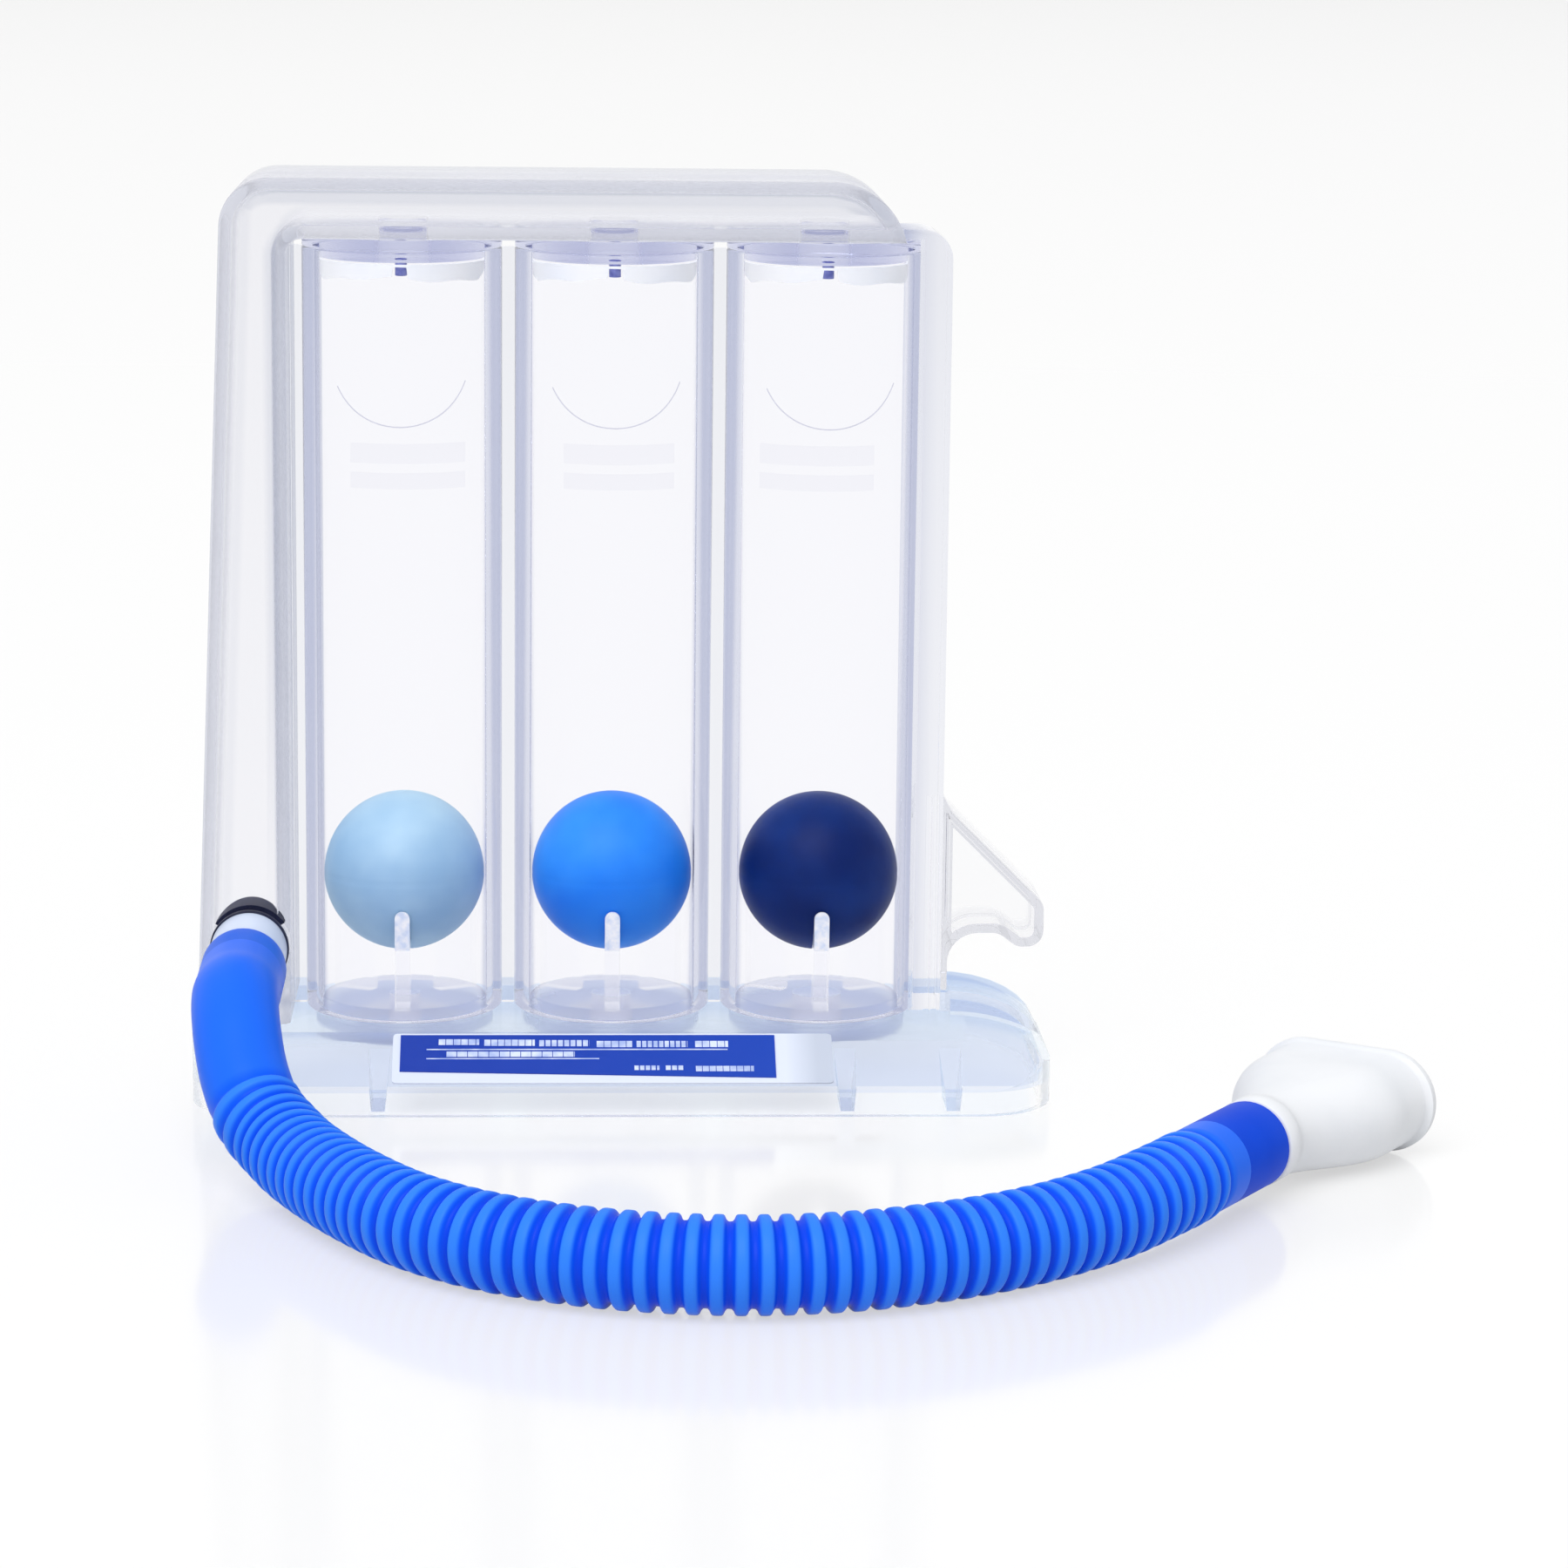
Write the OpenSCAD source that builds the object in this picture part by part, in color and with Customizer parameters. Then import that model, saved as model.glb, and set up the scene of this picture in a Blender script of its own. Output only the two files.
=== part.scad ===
// Three ball breathing trainer with a ribbed hose and a mouthpiece.
// Millimetres, +Z up. The front faces -Y. The origin is the middle of the base, on the table.

/* [Base] */
// Width of the base along X
base_w = 138.2; // [136:0.2:150]
// Distance from the tube axes to the front edge of the base
base_front = 33; // [31:0.5:40]
// Distance from the tube axes to the back of the base
base_back = 17; // [16.5:0.5:22]
// Height of the upright foot frame
rim_h = 4; // [3:0.5:5]
// Height of the flat deck that the tubes stand on
deck_z = 11; // [10:0.5:14]
// Run of the sloped front panel
slope_run = 12; // [9:0.5:14]
// Wall of the base hood and of the foot frame
base_wall = 1.8; // [1.4:0.1:2.2]
// Corner radius of the two front corners
front_corner_r = 12; // [6:1:14]
// Corner radius of the back corner under the duct
back_corner_r = 6; // [4:0.5:7]
// Corner radius of the back corner under the hook
shoulder_corner_r = 16; // [10:1:17]
// Length over which the deck falls towards the hook end
shoulder_run = 15; // [10:1:16]
// Fall of the deck at the hook end
shoulder_drop = 4; // [2:0.5:5]
// Thickness of the ribs inside the front panel, at the deck
gusset_w = 4; // [3:0.5:5]
// Thickness of the same ribs at the foot
gusset_foot_w = 2.2; // [1.6:0.2:3]
// Length of the ribs from front to back
gusset_run = 11; // [8:0.5:12]
// Width of each air notch in the back of the foot frame
notch_w = 18; // [10:1:24]
// Height of each air notch
notch_h = 2.4; // [1.5:0.1:2.8]

/* [Tubes] */
// Distance between neighbouring tube axes
tube_pitch = 34; // [33.5:0.25:36]
// Outer diameter of a tube
tube_od = 32; // [31:0.25:32.5]
// Bore of a tube
tube_bore = 26.6; // [26.5:0.05:27.2]
// Height of a tube above the deck
tube_h = 124.4; // [110:1:140]
// Thickness of the webs between the tubes
web_t = 1.6; // [1.2:0.1:2.4]
// Offset of the row of tubes from the middle of the base
bank_x = -1.7; // [-2.5:0.1:-0.9]

/* [Chamber floors] */
// Diameter of the flange glued under the deck
floor_flange_d = 29; // [28:0.5:30]
// Thickness of that flange
floor_flange_h = 2; // [1.6:0.1:2.4]
// Rise of the chamber floor above the deck
floor_rise = 1.9; // [1.5:0.1:3]
// Diameter of the collar round the air hole
orifice_collar_d = 16; // [14:0.5:18]
// Height of the collar round the air hole
orifice_collar_h = 2; // [1:0.25:2.5]
// Air hole of the left chamber
left_orifice_d = 5; // [4:0.5:6]
// Air hole of the middle chamber
middle_orifice_d = 6.5; // [5:0.5:8]
// Air hole of the right chamber
right_orifice_d = 8; // [6:0.5:10]
// Width of a rib that carries the ball
seat_rib_w = 2.4; // [1.6:0.2:3]
// Height of the tips of the ribs below the middle of the resting ball
seat_tip_drop = 4.4; // [4:0.2:8]
// Distance from the tube axis to the inner end of a rib
seat_rib_in = 6; // [4.5:0.5:8]

/* [Balls] */
// Diameter of a ball
ball_d = 26; // [25:0.1:26]
// Wall of a hollow ball
ball_wall = 0.9; // [0.7:0.1:1.5]
// Gap between the resting ball and the chamber floor
ball_lift = 7.5; // [6:0.25:9]
// Travel of a ball up its tube
ball_travel = 85.5; // [60:0.5:86]

/* [Caps] */
// Thickness of a cap's flange
cap_flange_h = 2; // [1.6:0.1:3]
// Depth of a cap's plug inside the tube
cap_plug_h = 1.8; // [1.2:0.1:2.5]
// Diameter of the air port through a cap
port_d = 8; // [5:0.5:9]
// Distance of the air port behind the tube axis
port_back = 6; // [5.5:0.25:7]
// Diameter of the pin that stops the ball
stop_pin_d = 1.8; // [1.4:0.2:3]
// Distance of the stop pin in front of the tube axis
stop_pin_front = 6; // [4:0.5:8]

/* [Duct] */
// Depth of the duct from front to back
duct_depth = 32; // [28:0.5:33]
// Wall of the duct shells
duct_wall = 2; // [1.6:0.1:2.4]
// Width of the upright leg at the deck
leg_w_foot = 15; // [14.6:0.1:15.2]
// Width of the upright leg at the top
leg_w_head = 10; // [9:0.2:12]
// Height of the bar over the tubes
bar_h = 9.6; // [9.2:0.2:11]
// Radius of the bar's rounded end, round the axis of the right tube
bar_end_r = 12.2; // [11.6:0.1:12.6]
// Rounding of the duct's long edges
duct_edge_r = 4.5; // [3:0.25:4.5]
// Outer radius of the top left corner
duct_corner_r = 8; // [6:0.2:9]
// Radius in the corner between leg and bar
duct_inner_r = 3.6; // [2:0.2:5]

/* [Side channel and hook] */
// Width of the side channel beside the right tube
side_w = 4; // [3.8:0.1:5]
// Depth of the side channel
side_depth = 13; // [10:0.5:14]
// Height of the side channel's shoulder above the caps
side_step_h = 1.6; // [1:0.1:2]
// Radius of the side channel's top corner
side_corner_r = 4.8; // [3:0.2:5]
// Width of a groove in the side channel
rail_w = 0.9; // [0.6:0.1:1.1]
// Depth of a groove in the side channel
rail_cut = 0.8; // [0.4:0.1:1.2]
// Reach of the hook beyond the side channel
hook_reach = 16.8; // [14:0.2:20]
// Depth of the hook from front to back
hook_depth = 14; // [10:0.5:16]
// Thickness of the hook's middle web
hook_web_t = 2; // [1.4:0.2:3]
// Thickness of the rim round the hook
hook_rim_t = 1.6; // [1.2:0.1:2]
// Height of the hook's root above the table
hook_root_z = 47; // [42:1:52]
// Height of the hook's nose above the table
hook_nose_z = 29; // [27:0.5:32]
// Height of the hook's lip above the table
hook_lip_z = 21.8; // [20:0.1:23]
// Height of the roof of the slot above the lip
slot_rise = 2.3; // [1.5:0.1:4]
// Height of the lower jaw above the table
jaw_z = 14.5; // [13.5:0.5:17]
// Height at which the jaw's outer end stands upright
jaw_foot_z = 5.4; // [4.5:0.1:7]

/* [Label] */
// Width of the label card
card_w = 70.4; // [60:1:74]
// Height of the label card along the sloped panel
card_h = 11.2; // [10.6:0.2:13]
// Distance of the card from the panel's upper edge
card_margin = 0.7; // [0.4:0.1:0.8]
// Thickness of the label card
card_t = 0.3; // [0.2:0.05:0.5]
// Width of the coloured strip
strip_w = 60; // [40:1:66]
// Height of the coloured strip at its hook end
strip_h = 9.6; // [8:0.2:10]
// Height of the coloured strip at its duct end
strip_h_duct = 8.2; // [6:0.2:9.4]
// Distance of the strip from the card's upper edge
strip_margin = 0.5; // [0.3:0.1:0.6]
// Thickness of the coloured strip
strip_t = 0.2; // [0.1:0.05:0.4]
// Shift of the strip towards the duct
strip_shift = 4; // [0:0.5:5]

/* [Inlet] */
// Distance of the inlet axis from the inner side of the duct leg
inlet_in = 6.4; // [6:0.1:7.5]
// Height of the inlet axis above the table
inlet_z = 23.7; // [22:0.1:30]
// Outer diameter of the spigot
spigot_d = 10.4; // [9:0.1:10.6]
// Bore of the spigot
spigot_bore = 7.8; // [6:0.1:8]
// Length of the spigot inside the cuff
spigot_grip = 7.6; // [7:0.1:7.8]
// Length of the spigot inside the duct, behind its front wall
spigot_stub = 1.2; // [0.8:0.1:1.6]
// Diameter of the dark gasket
gasket_d = 13; // [12.6:0.1:13.4]
// Thickness of the dark gasket
gasket_t = 1.2; // [1:0.1:1.6]
// Diameter of the pale collar
collar_d = 12.2; // [11.8:0.1:12.4]
// Length of the pale collar
collar_l = 13.4; // [11:0.2:14.4]

/* [Hose] */
// Outer diameter of the smooth cuffs
cuff_d = 13.4; // [12.8:0.1:13.8]
// Running clearance between a cuff and what it is pushed on
cuff_clear = 0.06; // [0.02:0.01:0.1]
// Length of the cuff at the inlet
inlet_cuff_l = 8; // [7.9:0.1:9]
// Length of the cuff at the mouthpiece
mouth_cuff_l = 14; // [12:0.5:16]
// Diameter over the crests of the ribs
crest_d = 14; // [13.6:0.1:14.2]
// Diameter in the valleys between the ribs
valley_d = 12; // [11.8:0.1:13]
// Bore of the hose
hose_bore = 10.4; // [9:0.1:10.6]
// Number of ribs
rib_count = 58; // [40:1:70]
// Smooth length of the hose before the ribs start
smooth_inlet = 36; // [33:0.5:44]
// Smooth length of the hose after the ribs end
smooth_mouth = 7; // [4:0.5:12]

/* [Mouthpiece] */
// Length of the mouthpiece's stub inside the cuff
stub_l = 10; // [8:0.5:12]
// Bore of the stub
stub_bore = 7.6; // [6:0.1:8]
// Diameter of the stop flange
stop_flange_d = 13.6; // [13.4:0.1:13.8]
// Length of the stop flange
stop_flange_l = 4; // [2:0.5:6]
// Length of the neck that flattens towards the mouth
neck_l = 22; // [16:1:28]
// Length of the flat mouth end
lip_l = 10; // [8:1:16]
// Width of the flat mouth end
lip_w = 28; // [20:1:30]
// Height of the flat mouth end
lip_h = 15; // [12:0.5:15.5]
// Width of the ridge that the teeth hold
bite_w = 30; // [22:1:32]
// Height of that ridge
bite_h = 16; // [13:0.2:16.2]
// Length of that ridge
bite_l = 2; // [1:0.5:3]
// Wall of the mouthpiece
lip_wall = 1.6; // [1.2:0.1:2]

/* [Hidden] */
$fn = 64;

// Clearance between parts that are glued or pressed together
fit_gap = 0.05;
// Clearance between a ball and what it rests on or stops at
ball_gap = 0.3;
// Overrun of every cut past the face that it leaves
over = 1;
// Overlap of shapes that are joined into one piece
lap = 0.1;
// Steps of a rounded corner
corner_steps = 8;
right_angle = 90;
// Circle steps of the children of a hull
hull_steps = 32;

// Positions that follow from the sizes above
base_right = base_w / 2;
front_y = -(base_front + base_back) / 2;
back_y = (base_front + base_back) / 2;
tube_y = (base_front - base_back) / 2;
tube_top = deck_z + tube_h;
bore_r = tube_bore / 2;
tube_r = tube_od / 2;
web_gap = tube_pitch - tube_od;
floor_z = deck_z + floor_rise;
flange_z = deck_z - base_wall;
ball_r = ball_d / 2;
ball_z = floor_z + ball_lift + ball_r;
left_x = bank_x - tube_pitch;
right_x = bank_x + tube_pitch;
bar_z = tube_top + cap_flange_h;
bar_top = bar_z + bar_h;
leg_right = left_x - tube_r - web_gap;
bar_end_z = bar_top - bar_end_r;
bar_right = right_x + sqrt(pow(bar_end_r, 2) - pow(bar_z - bar_end_z, 2));
duct_front_y = tube_y - duct_depth / 2;
side_left = right_x + tube_r;
side_right = side_left + side_w;
hook_right = side_right + hook_reach;
slope_rate = (deck_z - rim_h) / slope_run;
slope_angle = atan(slope_rate);
shoulder_r = (pow(shoulder_run, 2) + pow(shoulder_drop, 2)) / (2 * shoulder_drop);
slice_h = fit_gap;

// Ribs behind the front panel: places as shares of the tube pitch from the row's middle
gusset_place_shares = [-1.6, -1.1, 1.1, 1.6];
gusset_foot_z = rim_h / 8;
// Air notches: places as shares of the base width
notch_place_shares = [-0.25, 0, 0.25];
// Directions of the ribs that carry a ball
seat_rib_angles = [-90, 30, 150];
// Grooves of the side channel: places as shares of its width
rail_place_shares = [0.3, 0.62];
// Corners of the hook: distances from the side channel and radii as shares of the hook's reach
slot_end_share = 0.06;
roof_end_share = 0.56;
lip_start_share = 0.74;
root_share = 0.09;
root_fall_share = 0.17;
slot_end_r_share = 0.3;
hook_r_share = 0.16;

// Inlet along -Y
inlet_x = leg_right - inlet_in;
gasket_y = duct_front_y;
collar_y = gasket_y - gasket_t;
cuff_y = collar_y - collar_l;
hose_start_y = cuff_y - inlet_cuff_l;
boss_depth = duct_edge_r;

// Route of the hose, chosen by hand, from the inlet cuff to the mouth cuff
hose_start = [inlet_x, hose_start_y, inlet_z];
hose_end = [85.6, -83, 8.3];
route = [
    hose_start,
    hose_start - [0, crest_d / 2, 0],
    hose_start - [0, crest_d, 0],
    [-59.4, -51.5, 20.6], [-57.9, -58.2, 15.6], [-55.3, -64.4, 11.2], [-51.6, -70.6, 8.7],
    [-47.5, -79, 7.5],
    [-40, -93.5, 7.1], [-30.5, -108, 7.1], [-18, -119, 7.1], [-1.5, -126.5, 7.1],
    [16.5, -129, 7.1], [34.5, -126, 7.1], [52.5, -117.5, 7.1], [67, -106.5, 7.5],
    [78, -94.6, 8.3], [81.8, -88.8, 8.3],
    hose_end
];
// Samples of the curve between two route points
route_steps = 8;
hose_sides = 8;
// Longest step between rings where the hose is smooth, and inside the bore
ring_step = 5.2;
// Half of the length over which a direction is measured
probe = 0.4;

// Vectors and outlines

function unit(v) = v / norm(v);

// Arc of radius r that rounds the corner p between the points a and b
function corner_arc(a, p, b, r) =
    r <= 0 ? [p] :
    let (u = unit(a - p), w = unit(b - p), half = acos(u * w) / 2)
    let (centre = p + unit(u + w) * (r / sin(half)), start = p + u * (r / tan(half)))
    let (from = atan2(start.y - centre.y, start.x - centre.x))
    let (way = cross(p - a, b - p) > 0 ? 1 : -1, turn = way * (2 * right_angle - 2 * half))
    [for (i = [0:corner_steps]) centre + r * [cos(from + turn * i / corner_steps),
                                              sin(from + turn * i / corner_steps)]];

// Outline through corners given as [x, y, radius]
function rounded(corners) =
    let (n = len(corners))
    [for (i = [0:n - 1])
        let (a = corners[(i + n - 1) % n], p = corners[i], b = corners[(i + 1) % n])
        each corner_arc([a.x, a.y], [p.x, p.y], [b.x, b.y], p.z)];

// Rounded rectangle from two opposite corners
function rounded_box(x0, y0, x1, y1, r) =
    rounded([[x0, y0, r], [x1, y0, r], [x1, y1, r], [x0, y1, r]]);

// Extrudes a drawing in X and Z along Y, from y0 to y1
module along_y(y0, y1) {
    translate([0, y1, 0])
        rotate([90, 0, 0])
            linear_extrude(height = y1 - y0)
                children();
}

// Extrudes a drawing in Y and Z along X, from x0 to x1
module along_x(x0, x1) {
    translate([x0, 0, 0])
        rotate([90, 0, 90])
            linear_extrude(height = x1 - x0)
                children();
}

// Upright cylinder on a tube's axis
module on_tube(x, z0, z1, r) {
    translate([x, tube_y, z0])
        cylinder(r = r, h = z1 - z0);
}

// Cylinder on the inlet's axis, from the plane y0 forwards to y1
module on_inlet(y0, y1, r) {
    translate([inlet_x, y0, inlet_z])
        rotate([90, 0, 0])
            cylinder(r = r, h = y0 - y1);
}

// Base

module base_plan(inset) {
    x = base_right - inset;
    y0 = front_y + inset;
    y1 = back_y - inset;
    polygon(rounded([
        [-x, y0, front_corner_r - inset],
        [x, y0, front_corner_r - inset],
        [x, y1, shoulder_corner_r - inset],
        [-x, y1, back_corner_r - inset]
    ]));
}

// Side view of the base: upright foot, sloped front panel and flat deck
module base_side(inset, z0) {
    lean = sqrt(1 + pow(slope_rate, 2));
    y0 = front_y + inset;
    y1 = back_y - inset;
    z1 = deck_z - inset;
    polygon([
        [y0, z0],
        [y0, rim_h + slope_rate * inset - lean * inset],
        [front_y + (z1 - rim_h + lean * inset) / slope_rate, z1],
        [y1, z1],
        [y1, z0]
    ]);
}

// Front view of the base: flat deck that falls in an arc at the hook end
module base_face(inset, z0) {
    r = shoulder_r - inset;
    end = asin(shoulder_run / r);
    arc = [for (i = [0:corner_steps])
        [base_right - shoulder_run + r * sin(end * i / corner_steps),
         deck_z - shoulder_r + r * cos(end * i / corner_steps)]];
    polygon(concat([[-base_right, z0], [-base_right, deck_z - inset]], arc, [[base_right, z0]]));
}

// Top of the lower jaw, a quarter of an ellipse from the side channel to the outer end
function jaw_arc(inset) =
    let (run = base_right - side_right - inset, rise = jaw_z - jaw_foot_z - inset)
    let (start = asin(inset / run))
    [for (i = [0:corner_steps])
        let (t = start + (right_angle - start) * i / corner_steps)
        [side_right + run * sin(t), jaw_foot_z + rise * cos(t)]];

module jaw_face(inset, z0) {
    polygon(concat([[side_right + inset, z0]], jaw_arc(inset), [[base_right - inset, z0]]));
}

// Outer shape of the base, or its hollow when inset by the wall
module base_shape(inset, z0) {
    intersection() {
        translate([0, 0, z0])
            linear_extrude(height = jaw_z + over - z0)
                base_plan(inset);
        union() {
            intersection() {
                along_x(-base_right, base_right) base_side(inset, z0);
                along_y(front_y, back_y) base_face(inset, z0);
            }
            along_y(tube_y - hook_depth / 2 + inset, tube_y + hook_depth / 2 - inset)
                jaw_face(inset, z0);
        }
    }
}

// Tapered rib behind the front panel
module gusset(x) {
    half_top = gusset_w / 2;
    half_foot = gusset_foot_w / 2;
    module blade() {
        along_y(front_y, front_y + gusset_run)
            polygon([[x - half_foot, gusset_foot_z], [x + half_foot, gusset_foot_z],
                     [x + half_top, deck_z], [x - half_top, deck_z]]);
    }
    intersection() {
        blade();
        base_shape(base_wall - lap, rim_h);
    }
    intersection() {
        blade();
        linear_extrude(height = rim_h + lap)
            base_plan(base_wall + fit_gap);
    }
}

module base_hood() {
    color([0.86, 0.88, 0.96, 0.5]) {
        difference() {
            base_shape(0, rim_h);
            base_shape(base_wall, -over);
            for (x = [left_x, bank_x, right_x])
                on_tube(x, 0, jaw_z, bore_r);
        }
        for (share = gusset_place_shares)
            gusset(bank_x + share * tube_pitch);
    }
}

module base_frame() {
    color([0.82, 0.85, 0.95, 0.5])
        difference() {
            linear_extrude(height = rim_h)
                base_plan(0);
            translate([0, 0, -over])
                linear_extrude(height = rim_h + 2 * over)
                    base_plan(base_wall);
            for (share = notch_place_shares)
                translate([share * base_w - notch_w / 2, back_y - base_wall - over, -over])
                    cube([notch_w, base_wall + 2 * over, notch_h + over]);
        }
}

// Chamber floors

module chamber_floor(x, orifice_d) {
    color([0.9, 0.92, 0.98, 0.6])
        difference() {
            union() {
                on_tube(x, flange_z - floor_flange_h, flange_z, floor_flange_d / 2);
                on_tube(x, flange_z - lap, floor_z, bore_r - fit_gap);
                on_tube(x, flange_z - floor_flange_h - orifice_collar_h, flange_z,
                        orifice_collar_d / 2);
                for (a = seat_rib_angles)
                    translate([x, tube_y, floor_z - lap])
                        rotate([0, 0, a])
                            translate([seat_rib_in, -seat_rib_w / 2, 0])
                                cube([bore_r - ball_gap - seat_rib_in, seat_rib_w,
                                      ball_z - seat_tip_drop - floor_z + lap]);
            }
            on_tube(x, 0, ball_z, orifice_d / 2);
            translate([x, tube_y, ball_z])
                sphere(r = ball_r + ball_gap);
        }
}

module left_floor() chamber_floor(left_x, left_orifice_d);
module middle_floor() chamber_floor(bank_x, middle_orifice_d);
module right_floor() chamber_floor(right_x, right_orifice_d);

// Tubes

module tube_wall(x) {
    difference() {
        on_tube(x, deck_z, tube_top, tube_r);
        on_tube(x, deck_z - over, tube_top + over, bore_r);
    }
}

// Upright web in the plane of the tube axes, from x0 to x1, clear of the tubes' bores
module web(x0, x1) {
    difference() {
        translate([x0, tube_y - web_t / 2, deck_z])
            cube([x1 - x0, web_t, tube_h]);
        for (x = [left_x, bank_x, right_x])
            on_tube(x, deck_z - over, tube_top + over, x == bank_x ? tube_r - lap : tube_r);
    }
}

module left_tube() {
    color([0.88, 0.9, 0.97, 0.35]) {
        tube_wall(left_x);
        translate([leg_right, tube_y - web_t / 2, deck_z])
            cube([web_gap + web_t / 2, web_t, tube_h]);
    }
}

module middle_tube() {
    color([0.88, 0.9, 0.97, 0.35]) {
        tube_wall(bank_x);
        web(left_x + tube_r - lap, bank_x - tube_r + web_t / 2);
        web(bank_x + tube_r - web_t / 2, right_x - tube_r + lap);
    }
}

module right_tube() {
    color([0.88, 0.9, 0.97, 0.35])
        tube_wall(right_x);
}

// Caps

module tube_cap(x) {
    edge_r = stop_pin_front - stop_pin_d / 2;
    pin_z = ball_z + ball_travel + sqrt(pow(ball_r, 2) - pow(edge_r, 2)) + ball_gap;
    color([0.84, 0.86, 0.96, 0.5]) {
        difference() {
            union() {
                on_tube(x, tube_top, bar_z, tube_r);
                on_tube(x, tube_top - cap_plug_h, tube_top + lap, bore_r - fit_gap);
            }
            translate([0, port_back, 0])
                on_tube(x, tube_top - cap_plug_h - over, bar_z + over, port_d / 2);
        }
        translate([0, -stop_pin_front, 0])
            on_tube(x, pin_z, tube_top, stop_pin_d / 2);
    }
}

module left_cap() tube_cap(left_x);
module middle_cap() tube_cap(bank_x);
module right_cap() tube_cap(right_x);

// Duct: an upright leg on the left and a bar over the tubes, in a front and a back shell

// Left edge of the leg at the height z
function leg_left(z) =
    leg_right - leg_w_foot + (leg_w_foot - leg_w_head) * (z - deck_z) / (bar_top - deck_z);

module leg_slice(z, inset) {
    translate([0, 0, z])
        linear_extrude(height = slice_h)
            polygon(rounded_box(leg_left(z) + inset, duct_front_y + inset, leg_right - inset,
                                tube_y + duct_depth / 2 - inset, duct_edge_r - inset));
}

module duct_leg(inset) {
    hull() {
        leg_slice(deck_z + inset, inset);
        leg_slice(bar_top - slice_h, inset);
    }
}

module duct_bar(inset) {
    along_x(leg_left(bar_top) + inset, bar_right)
        polygon(rounded_box(duct_front_y + inset, bar_z + inset, tube_y + duct_depth / 2 - inset,
                            bar_top - inset, duct_edge_r - inset));
}

// Rounded end of the bar, from its floor to its top
function bar_end(inset) =
    let (r = bar_end_r - inset, low = asin((bar_z + inset - bar_end_z) / r))
    [for (i = [0:corner_steps])
        let (t = low + (right_angle - low) * i / corner_steps)
        [right_x + r * cos(t), bar_end_z + r * sin(t), 0]];

// Front view of the whole duct
module duct_face(inset) {
    polygon(rounded(concat(
        [[leg_left(deck_z) + inset, deck_z + inset, 0],
         [leg_right - inset, deck_z + inset, 0],
         [leg_right - inset, bar_z + inset, 0]],
        bar_end(inset),
        [[leg_left(bar_top) + inset, bar_top - inset, duct_corner_r - inset]]
    )));
}

// Everything below the mitre line between leg and bar, moved up by a lift
module below_mitre(lift) {
    along_y(duct_front_y, tube_y + duct_depth / 2)
        polygon([[leg_left(deck_z) - over, deck_z], [leg_right, deck_z],
                 [leg_right, bar_z + lift], [leg_left(bar_top), bar_top + lift],
                 [leg_left(deck_z) - over, bar_top + lift]]);
}

module duct_shape(inset) {
    intersection() {
        union() {
            intersection() {
                duct_leg(inset);
                below_mitre(lap);
            }
            difference() {
                duct_bar(inset);
                below_mitre(0);
            }
        }
        along_y(duct_front_y, tube_y + duct_depth / 2) duct_face(inset);
    }
}

// Fillet between leg and bar, cut back round the left tube and its cap
module duct_fillet() {
    r = duct_inner_r;
    difference() {
        along_y(duct_front_y + duct_edge_r / 2, tube_y + duct_depth / 2 - duct_edge_r / 2)
            difference() {
                translate([leg_right - lap, bar_z - r])
                    square([r + lap, r + lap]);
                translate([leg_right + r, bar_z - r])
                    circle(r = r);
            }
        on_tube(left_x, 0, bar_z, tube_r + fit_gap);
        translate([leg_right - over, tube_y - web_t / 2 - fit_gap, deck_z])
            cube([web_gap + 2 * over, web_t + 2 * fit_gap, tube_h + fit_gap]);
    }
}

module duct_shell() {
    difference() {
        union() {
            duct_shape(0);
            duct_fillet();
            on_inlet(duct_front_y + boss_depth, duct_front_y, collar_d / 2);
        }
        duct_shape(duct_wall);
        on_inlet(duct_front_y + boss_depth, duct_front_y - over, spigot_d / 2 + fit_gap);
        for (x = [left_x, bank_x, right_x])
            translate([0, port_back, 0])
                on_tube(x, bar_z - over, bar_z + duct_wall + over, port_d / 2);
    }
}

// Keeps the half of the duct between the planes y0 and y1
module duct_half(y0, y1) {
    intersection() {
        duct_shell();
        translate([leg_left(deck_z) - over, y0, 0])
            cube([base_w, y1 - y0, bar_top + over]);
    }
}

module duct_front() {
    color([0.87, 0.89, 0.97, 0.45])
        duct_half(duct_front_y - over, tube_y);
}

module duct_back() {
    color([0.87, 0.89, 0.97, 0.45])
        duct_half(tube_y, tube_y + duct_depth / 2 + over);
}

// Side channel and hook

module side_channel() {
    top = bar_z + side_step_h;
    color([0.86, 0.88, 0.97, 0.45])
        difference() {
            along_y(tube_y - side_depth / 2, tube_y + side_depth / 2)
                polygon(rounded([
                    [side_left - side_w / 2, deck_z, 0],
                    [side_right, deck_z, 0],
                    [side_right, top, side_corner_r],
                    [bar_right + fit_gap, top, 0],
                    [bar_right + fit_gap, bar_z, 0],
                    [side_left - side_w / 2, bar_z, 0]
                ]));
            on_tube(right_x, 0, bar_z, tube_r);
            for (share = rail_place_shares)
                translate([side_left + share * side_w, tube_y - side_depth / 2 - over, 0])
                    cube([rail_w, rail_cut + over, hook_root_z]);
        }
}

// Front view of the hook, with the slot that the hose is stored in
module hook_face() {
    slot_end = side_right + slot_end_share * hook_reach;
    corner_r = hook_r_share * hook_reach;
    polygon(rounded([
        [side_right, jaw_z, 0],
        [slot_end, jaw_z, 0],
        [slot_end, hook_lip_z + slot_rise, slot_end_r_share * hook_reach],
        [side_right + roof_end_share * hook_reach, hook_lip_z + slot_rise, corner_r],
        [side_right + lip_start_share * hook_reach, hook_lip_z, corner_r],
        [hook_right, hook_lip_z, corner_r],
        [hook_right, hook_nose_z, corner_r],
        [side_right + root_share * hook_reach, hook_root_z - root_fall_share * hook_reach, corner_r / 2],
        [side_right, hook_root_z, 0]
    ]));
}

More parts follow.
